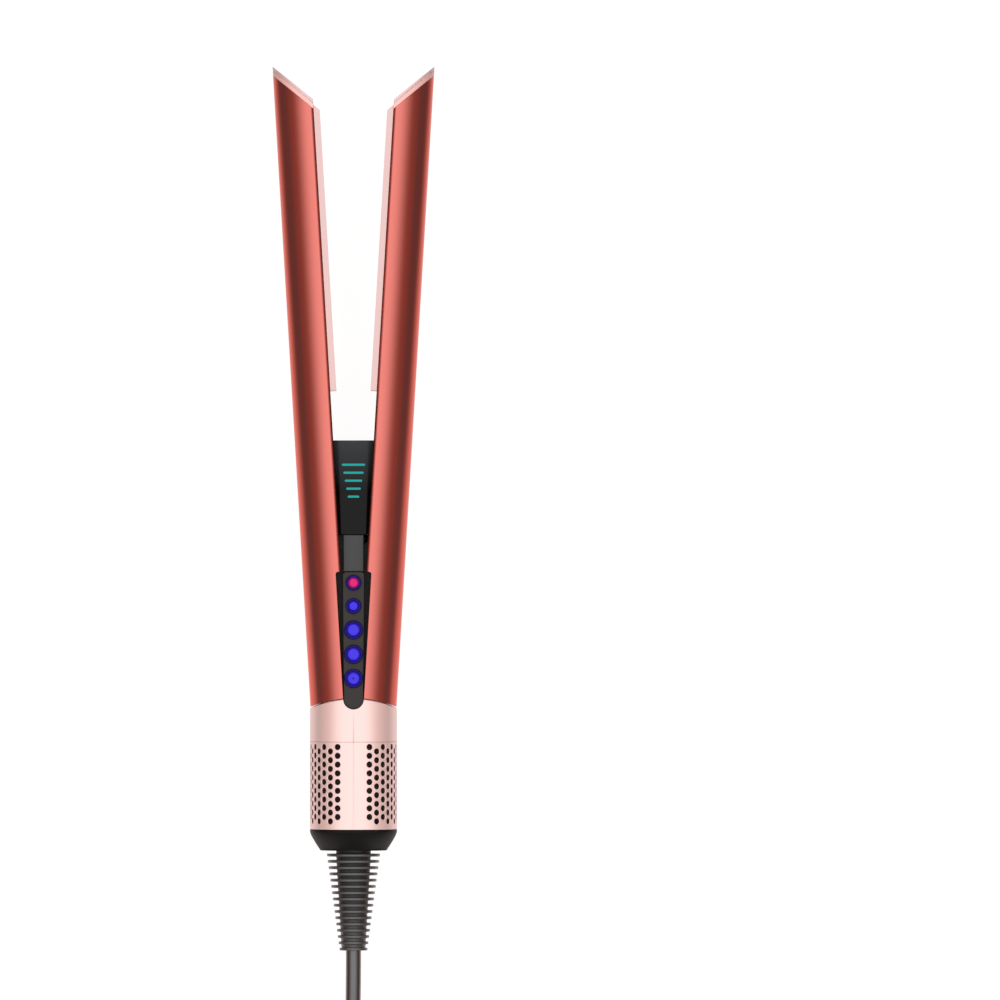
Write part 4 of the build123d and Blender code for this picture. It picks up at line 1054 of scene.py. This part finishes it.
def display():
    """Curved black window, and a plain level gauge that glows behind it."""
    back = GLASS_INSET + GLASS_THICKNESS
    outer = arm_arc(GLASS_INSET, angle_at_x(GLASS_INSET, DISPLAY_HALF_WIDTH), pi / 2, 24)
    inner = arm_arc(back, pi / 2, angle_at_x(back, DISPLAY_HALF_WIDTH), 24)
    outline = outer + [(-x, z) for x, z in reversed(outer[:-1])]
    outline += [(-x, z) for x, z in reversed(inner[1:])] + inner
    glass = prism(outline, DISPLAY_FOOT, DISPLAY_TOP, "Y")
    paint_glass_reflection()
    place(glass, "display_window", "base", "display_glass", GLASS, ("display_glass",), bevel=0.3)
    front = ARM_HALF_DEPTH - GLASS_INSET + ARM_MIDDLE
    for number in range(BAR_COUNT):
        height = around(BAR_FIRST + BAR_PITCH * number, BAR_HALF_HEIGHT)
        bar = prism(rounded(around(0, 2.4 + 0.6 * number), height, 0.42), front - 0.35, front + 0.02, "Z")
        place(bar, f"display_bar_{number + 1}", "base", "display_glass", GLYPH)


def lock():
    """Rear tongue with a slot, and the ribbed thumb slide that runs in it."""
    slot_half, slot_foot, slot_top = 1.5, -3.1, 5.7
    track = prism(rounded(around(0, TRACK_HALF_WIDTH), (DECK_TOP, TRACK_TOP), 1.2),
                  TRACK_BACK, TRACK_FRONT, "Z")
    slot = rounded(around(0, slot_half), (slot_foot, slot_top), slot_half - 0.02)
    cut(track, prism(slot, 2 * TRACK_BACK, 0, "Z"))
    place(track, "lock_rail", "base", "grey_plastic", GREY, ("lock_track",), bevel=0.25)

    gap, stem_half, foot_half, stem_y = 0.3, 1.2, 2.6, (-2.8, 1.4)
    middle, ribs, rib_pitch = (SLIDER_TOP + SLIDER_FOOT) / 2, 4, 1.8
    knob = prism(rounded(around(0, SLIDER_HALF_WIDTH), (SLIDER_FOOT, SLIDER_TOP), 1.5),
                 SLIDER_BACK, TRACK_BACK - gap, "Z")
    for rib in range(ribs):
        y = middle + (rib - (ribs - 1) / 2) * rib_pitch
        groove = [(y - 0.45, SLIDER_BACK - 0.1), (y + 0.45, SLIDER_BACK - 0.1), (y, SLIDER_BACK + 0.55)]
        cut(knob, prism(groove, -2 * SLIDER_HALF_WIDTH, 2 * SLIDER_HALF_WIDTH, "X"))
    stem = box(around(0, stem_half), stem_y, (TRACK_BACK - gap - 0.1, TRACK_FRONT + gap + 0.1))
    foot = box(around(0, foot_half), stem_y, (TRACK_FRONT + gap, TRACK_FRONT + gap + 1.2))
    join(knob, stem, foot)
    place(knob, "lock_knob", "lock_slider", "blue_buttons", BLUE, ("lock_slider",), bevel=0.2)


# ---- cord --------------------------------------------------------------------------------------
def boot_end(ahead=0.0):
    """Middle of the boot's end, or a point this far ahead of it, in millimetres."""
    return (LAY @ Vector((0, RELIEF_END - ahead, 0))) / MM


HANK_MIDDLE = boot_end().y - HANK_DISTANCE
HANK_TOP = HANK_PITCH * (HANK_LAYERS - 1) + CORD_DIAMETER


def cord_route():
    """Listed points from the boot down to the table and on to the hank."""
    y, floor = boot_end().y, CORD_DIAMETER / 2
    return [boot_end(), boot_end(27.0), (-1.5, y - 52.0, 13.2), (-6.0, y - 76.0, 7.2),
            (-14.0, y - 98.0, floor + 0.6), (-24.5, y - 116.5, floor)]


def plug_route():
    """Listed points from the hank's near fold, up over the tie and into the plug."""
    y, top = HANK_MIDDLE, HANK_TOP
    return [(-32.4, y + 62.0, top - 2.0), (-29.5, y + 44.0, top + 1.4), (-21.5, y + 27.0, top + 4.4),
            (-11.0, y + 10.0, top + 6.6), (-3.0, y - 6.0, top + 7.8), (0.0, y - 20.0, top + 8.0)]


def hank_half(y):
    """How far the innermost strand stands from the middle line at y from the tie."""
    share = min(abs(y) / HANK_REACH, 1.0)
    return HANK_WAIST + (HANK_FOLD_RADIUS - HANK_WAIST) * share * share * (3 - 2 * share)


def hank_run(side, z, offset, next_offset):
    """One pass between the folds: away from the tool on the left, back on the right."""
    stops = (-0.8, -0.42, 0.0, 0.42, 0.8)
    points = []
    for stop in stops:
        offset_here = offset + (next_offset - offset) * (stop + 1) / 2
        y = HANK_REACH * stop * (-1 if side < 0 else 1)
        points.append((side * (hank_half(y) + offset_here), HANK_MIDDLE + y, z))
    return points


def hank_fold(end, radius, z, next_z):
    """Half turn round one end of the hank, as control points just outside the arc."""
    bends = 5
    outside = radius / cos(pi / bends / 2)
    points = []
    for bend in range(bends):
        angle = pi * (bend + 0.5) / bends
        x = -outside * cos(angle) if end < 0 else outside * cos(angle)
        y = HANK_MIDDLE + end * (HANK_REACH + outside * sin(angle))
        points.append((x, y, z + (next_z - z) * (bend + 0.5) / bends))
    return points


def hank_turns():
    """Strands wind inwards along the table, step up, and wind outwards on top."""
    low, high = CORD_DIAMETER / 2, CORD_DIAMETER / 2 + HANK_PITCH
    strand = HANK_STRANDS - 1
    points = []
    for turn in range(HANK_TURNS):
        rising, on_top = turn == HANK_STRANDS - 1, turn >= HANK_STRANDS
        start = strand
        if on_top:
            strand += 1
        z, next_z = (high if on_top else low), (high if on_top or rising else low)
        points += hank_run(-1, z, start * HANK_PITCH, strand * HANK_PITCH)
        points += hank_fold(-1, HANK_FOLD_RADIUS + strand * HANK_PITCH, z, next_z)
        start = strand
        if not on_top and not rising:
            strand -= 1
        points += hank_run(1, next_z, start * HANK_PITCH, strand * HANK_PITCH)
        points += hank_fold(1, HANK_FOLD_RADIUS + strand * HANK_PITCH, next_z, next_z)
    return points


def cord(pieces):
    """The whole lead as one smooth spline: free stretch, hank, and the run to the plug."""
    floor = CORD_DIAMETER / 2
    joining = [(-31.6, HANK_MIDDLE + HANK_REACH + 8.0, floor)]
    points = cord_route() + joining + hank_turns() + plug_route()
    curve = bpy.data.curves.new("mains_cord", "CURVE")
    curve.dimensions = "3D"
    curve.bevel_depth = CORD_DIAMETER / 2 * MM
    curve.bevel_resolution = 8
    curve.resolution_u = 10
    curve.use_fill_caps = True
    spline = curve.splines.new("NURBS")
    spline.points.add(len(points) - 1)
    for point, spot in zip(spline.points, points):
        point.co = (*(Vector(spot) * MM), 1)
    spline.order_u = 3
    spline.use_endpoint_u = True
    lead = add("mains_cord", curve)
    curve.materials.append(JACKET)
    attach(lead, "base")
    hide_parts("cord", "cord_hank", "plug_lead")


TABLE = Matrix.Scale(MM, 4)  # for pieces drawn where they lie on the table


def hank_tie():
    """Strap round the hank's waist."""
    width, thickness = 11.0, 1.0
    half = hank_half(width / 2) + HANK_PITCH * (HANK_STRANDS - 1) + CORD_DIAMETER / 2 + 0.3
    low, high = HANK_MIDDLE - width / 2, HANK_MIDDLE + width / 2

    def ring(grow, y):
        outline = rounded(around(0, half + grow), (0.02, HANK_TOP + 0.05 + grow), 2.2 + grow, steps=8)
        return [(x, y, z) for x, z in outline]

    edge = 0.2
    strap = loft([ring(0.03, low), ring(0.03, high), ring(thickness - edge, high),
                  ring(thickness, high - edge), ring(thickness, low + edge), ring(thickness - edge, low)],
                 closed=True)
    for vertex in strap.data.vertices:
        vertex.co.z = max(vertex.co.z, 0.02)
    place(strap, "cord_tie", "base", "tie_fabric", TIE, ("hank_tie",), TABLE, sharp=40)
    return strap


def plug():
    """Moulded plug with a ribbed grip, and its two flat blades."""
    back, middle = HANK_MIDDLE - 20.0, HANK_TOP + 8.0
    full, length = (12.0, 7.8, 5.0), 32.0
    face = back - length

    def slimmer(by, corner=full[2]):
        return full[0] - by, full[1] - by, corner

    stations = [(0.0, 5.0, 5.0, 4.9), (1.0, 5.3, 5.2, 4.9), (5.0, 6.6, 5.7, 4.6), (10.0, 9.6, 6.8, 4.8),
                (14.0, 11.5, 7.6, 5.0), (16.5, *full)]
    grooves, groove_pitch, groove_depth = 4, 2.4, 0.45
    for groove in range(grooves):
        away = 18.0 + groove * groove_pitch
        stations += [(away, *full), (away + 0.35, *slimmer(groove_depth)),
                     (away + 1.0, *slimmer(groove_depth)), (away + 1.35, *full)]
    stations += [(length - 1.2, *full), (length - 0.35, *slimmer(0.35)), (length, *slimmer(1.2, 4.5))]
    rings = []
    for away, wide, tall, corner in stations:
        outline = rounded(around(0, wide), around(0, tall), min(corner, tall - 0.05), steps=10)
        rings.append([(x, back - away, middle + z) for x, z in outline])
    body = place(loft(rings), "mains_plug_body", "base", "black_rubber", RUBBER, ("plug_body",),
                 TABLE, sharp=50)

    blade_half, blade_tall, spacing, blade_length, slope = 0.75, 3.15, 6.35, 17.5, 1.6
    end = face - blade_length
    pair = None
    for x in (-spacing, spacing):
        rings = []
        for y, shrink in ((face + 0.4, 0.0), (end + slope, 0.0), (end, 0.45)):
            outline = rounded(around(x, blade_half - shrink), around(middle, blade_tall - 2 * shrink),
                              0.2, steps=3)
            rings.append([(u, y, v) for u, v in outline])
        blade = loft(rings)
        cut(blade, prism(circle((end + 4.2, middle), 1.5, 40), x - 2, x + 2, "X"))
        pair = join(pair, blade) if pair else blade
    blades = place(pair, "mains_plug_blades", "base", "brass", BRASS, ("plug_blades",), TABLE,
                   bevel=0.08)
    return [body, blades]


# ---- pieces that keep their CAD shape ------------------------------------------------------------
def finish_cad_nodes():
    """Materials and smooth shading for the inner pieces, which keep their CAD shape."""
    finishes = {
        "base_frame": INNER, "hinge_pin": STEEL, "arm_spring": STEEL, "button_board": BOARD,
        "display_housing": BLACK, "motor_housing": ALUMINIUM, "impeller": ALUMINIUM,
        "main_board": BOARD, "filter_screen": MESH, "frame_screws": STEEL,
    }
    for side in ("right", "left"):
        for node, finish in (("air_duct", INNER), ("inner_cover", INNER), ("heater", MICA),
                             ("hinge_bracket", STEEL)):
            finishes[f"{side}_{node}"] = finish
    for name, finish in finishes.items():
        node = frame["nodes"][name]
        for holder in node.material_slots:
            holder.material = finish
        if not node.material_slots:
            node.data.materials.append(finish)
        node.data.shade_smooth()
        node.data.set_sharp_from_angle(angle=radians(28))


# ---- stage ------------------------------------------------------------------------------------
def camera():
    """Long lens straight over the button side; the picture is shifted right of the tool."""
    data = bpy.data.cameras.new("camera")
    data.lens = LENS
    data.sensor_width = SENSOR
    data.shift_x = VIEW_RIGHT / VIEW_WIDTH
    data.clip_end = 50.0
    view = add("camera", data)
    turned = Matrix((ACROSS, ALONG, UP)).transposed().to_4x4()
    spot = LAY @ Vector((0, VIEW_AHEAD, VIEW_WIDTH * LENS / SENSOR))
    view.matrix_world = Matrix.Translation(spot) @ turned
    bpy.context.scene.camera = view


def stage_plane(name, below):
    """Wide plane just under the tool, with its shader."""
    half = 6.0
    mesh = bpy.data.meshes.new(name)
    corners = ((-half, -half, 0), (half, -half, 0), (half, half, 0), (-half, half, 0))
    mesh.from_pydata(corners, [], [(0, 1, 2, 3)])
    plane = add(name, mesh)
    plane.location.z = min(CAD_BOX[0][2], 0.0) - below
    paint = bpy.data.materials.new(name)
    paint.use_nodes = True
    shader = paint.node_tree.nodes["Principled BSDF"]
    shader.inputs["Roughness"].default_value = 0.9
    shader.inputs["Specular IOR Level"].default_value = 0.1
    shader.inputs["Emission Color"].default_value = (1, 1, 1, 1)
    mesh.materials.append(paint)
    return plane, shader


def floor():
    """White floor for the camera; the light it throws back fades away from the tool."""
    seen, paint = stage_plane("floor", 0.0001)
    paint.inputs["Base Color"].default_value = (FLOOR_COLOR, FLOOR_COLOR, FLOOR_COLOR, 1)
    paint.inputs["Emission Strength"].default_value = FLOOR_GLOW
    seen.visible_glossy = False
    seen.visible_diffuse = False

    thrown, glow = stage_plane("floor_light", 0.0002)
    thrown.visible_camera = False
    glow.inputs["Base Color"].default_value = (0, 0, 0, 1)
    glow.inputs["Emission Color"].default_value = (*GLOW_COLOR, 1)
    tree = glow.id_data
    across = separate(tree, tree.nodes.new("ShaderNodeTexCoord"), "Object")["X"]
    fade = map_range(tree, math_node(tree, "ABSOLUTE", across), (GLOW_NEAR * MM, GLOW_FAR * MM),
                     (GLOW_BRIGHT, GLOW_DARK))
    fade.interpolation_type = "SMOOTHSTEP"
    tree.links.new(fade.outputs["Result"], glow.inputs["Emission Strength"])


def dome():
    """Studio light as a sky: bright overhead, dark round the horizon."""
    world = bpy.data.worlds.new("studio")
    bpy.context.scene.world = world
    world.use_nodes = True
    tree = world.node_tree
    rise = separate(tree, tree.nodes.new("ShaderNodeTexCoord"), "Generated")["Z"]
    ramp = map_range(tree, rise, (DOME_LOW, DOME_HIGH)).outputs["Result"]
    curve = math_node(tree, "POWER", ramp, DOME_POWER)
    background = tree.nodes["Background"]
    tree.links.new(mix_colors(tree, curve, DOME_FOOT, DOME_TOP), background.inputs["Color"])
    background.inputs["Strength"].default_value = 1.0
    bpy.context.scene.view_settings.view_transform = "Standard"


# ---- the whole scene ---------------------------------------------------------------------------
hand_guard()
guard_inlay()
arm_shell()
tips()
outlet_plate()
collar()
filter_sleeve()
end_cap()
strain_relief()
control_stem()
control_panel()
for name, (y, radius) in BUTTONS.items():
    button(name, y, radius)
display()
lock()
finish_cad_nodes()
cord([hank_tie(), *plug()])
camera()
floor()
dome()
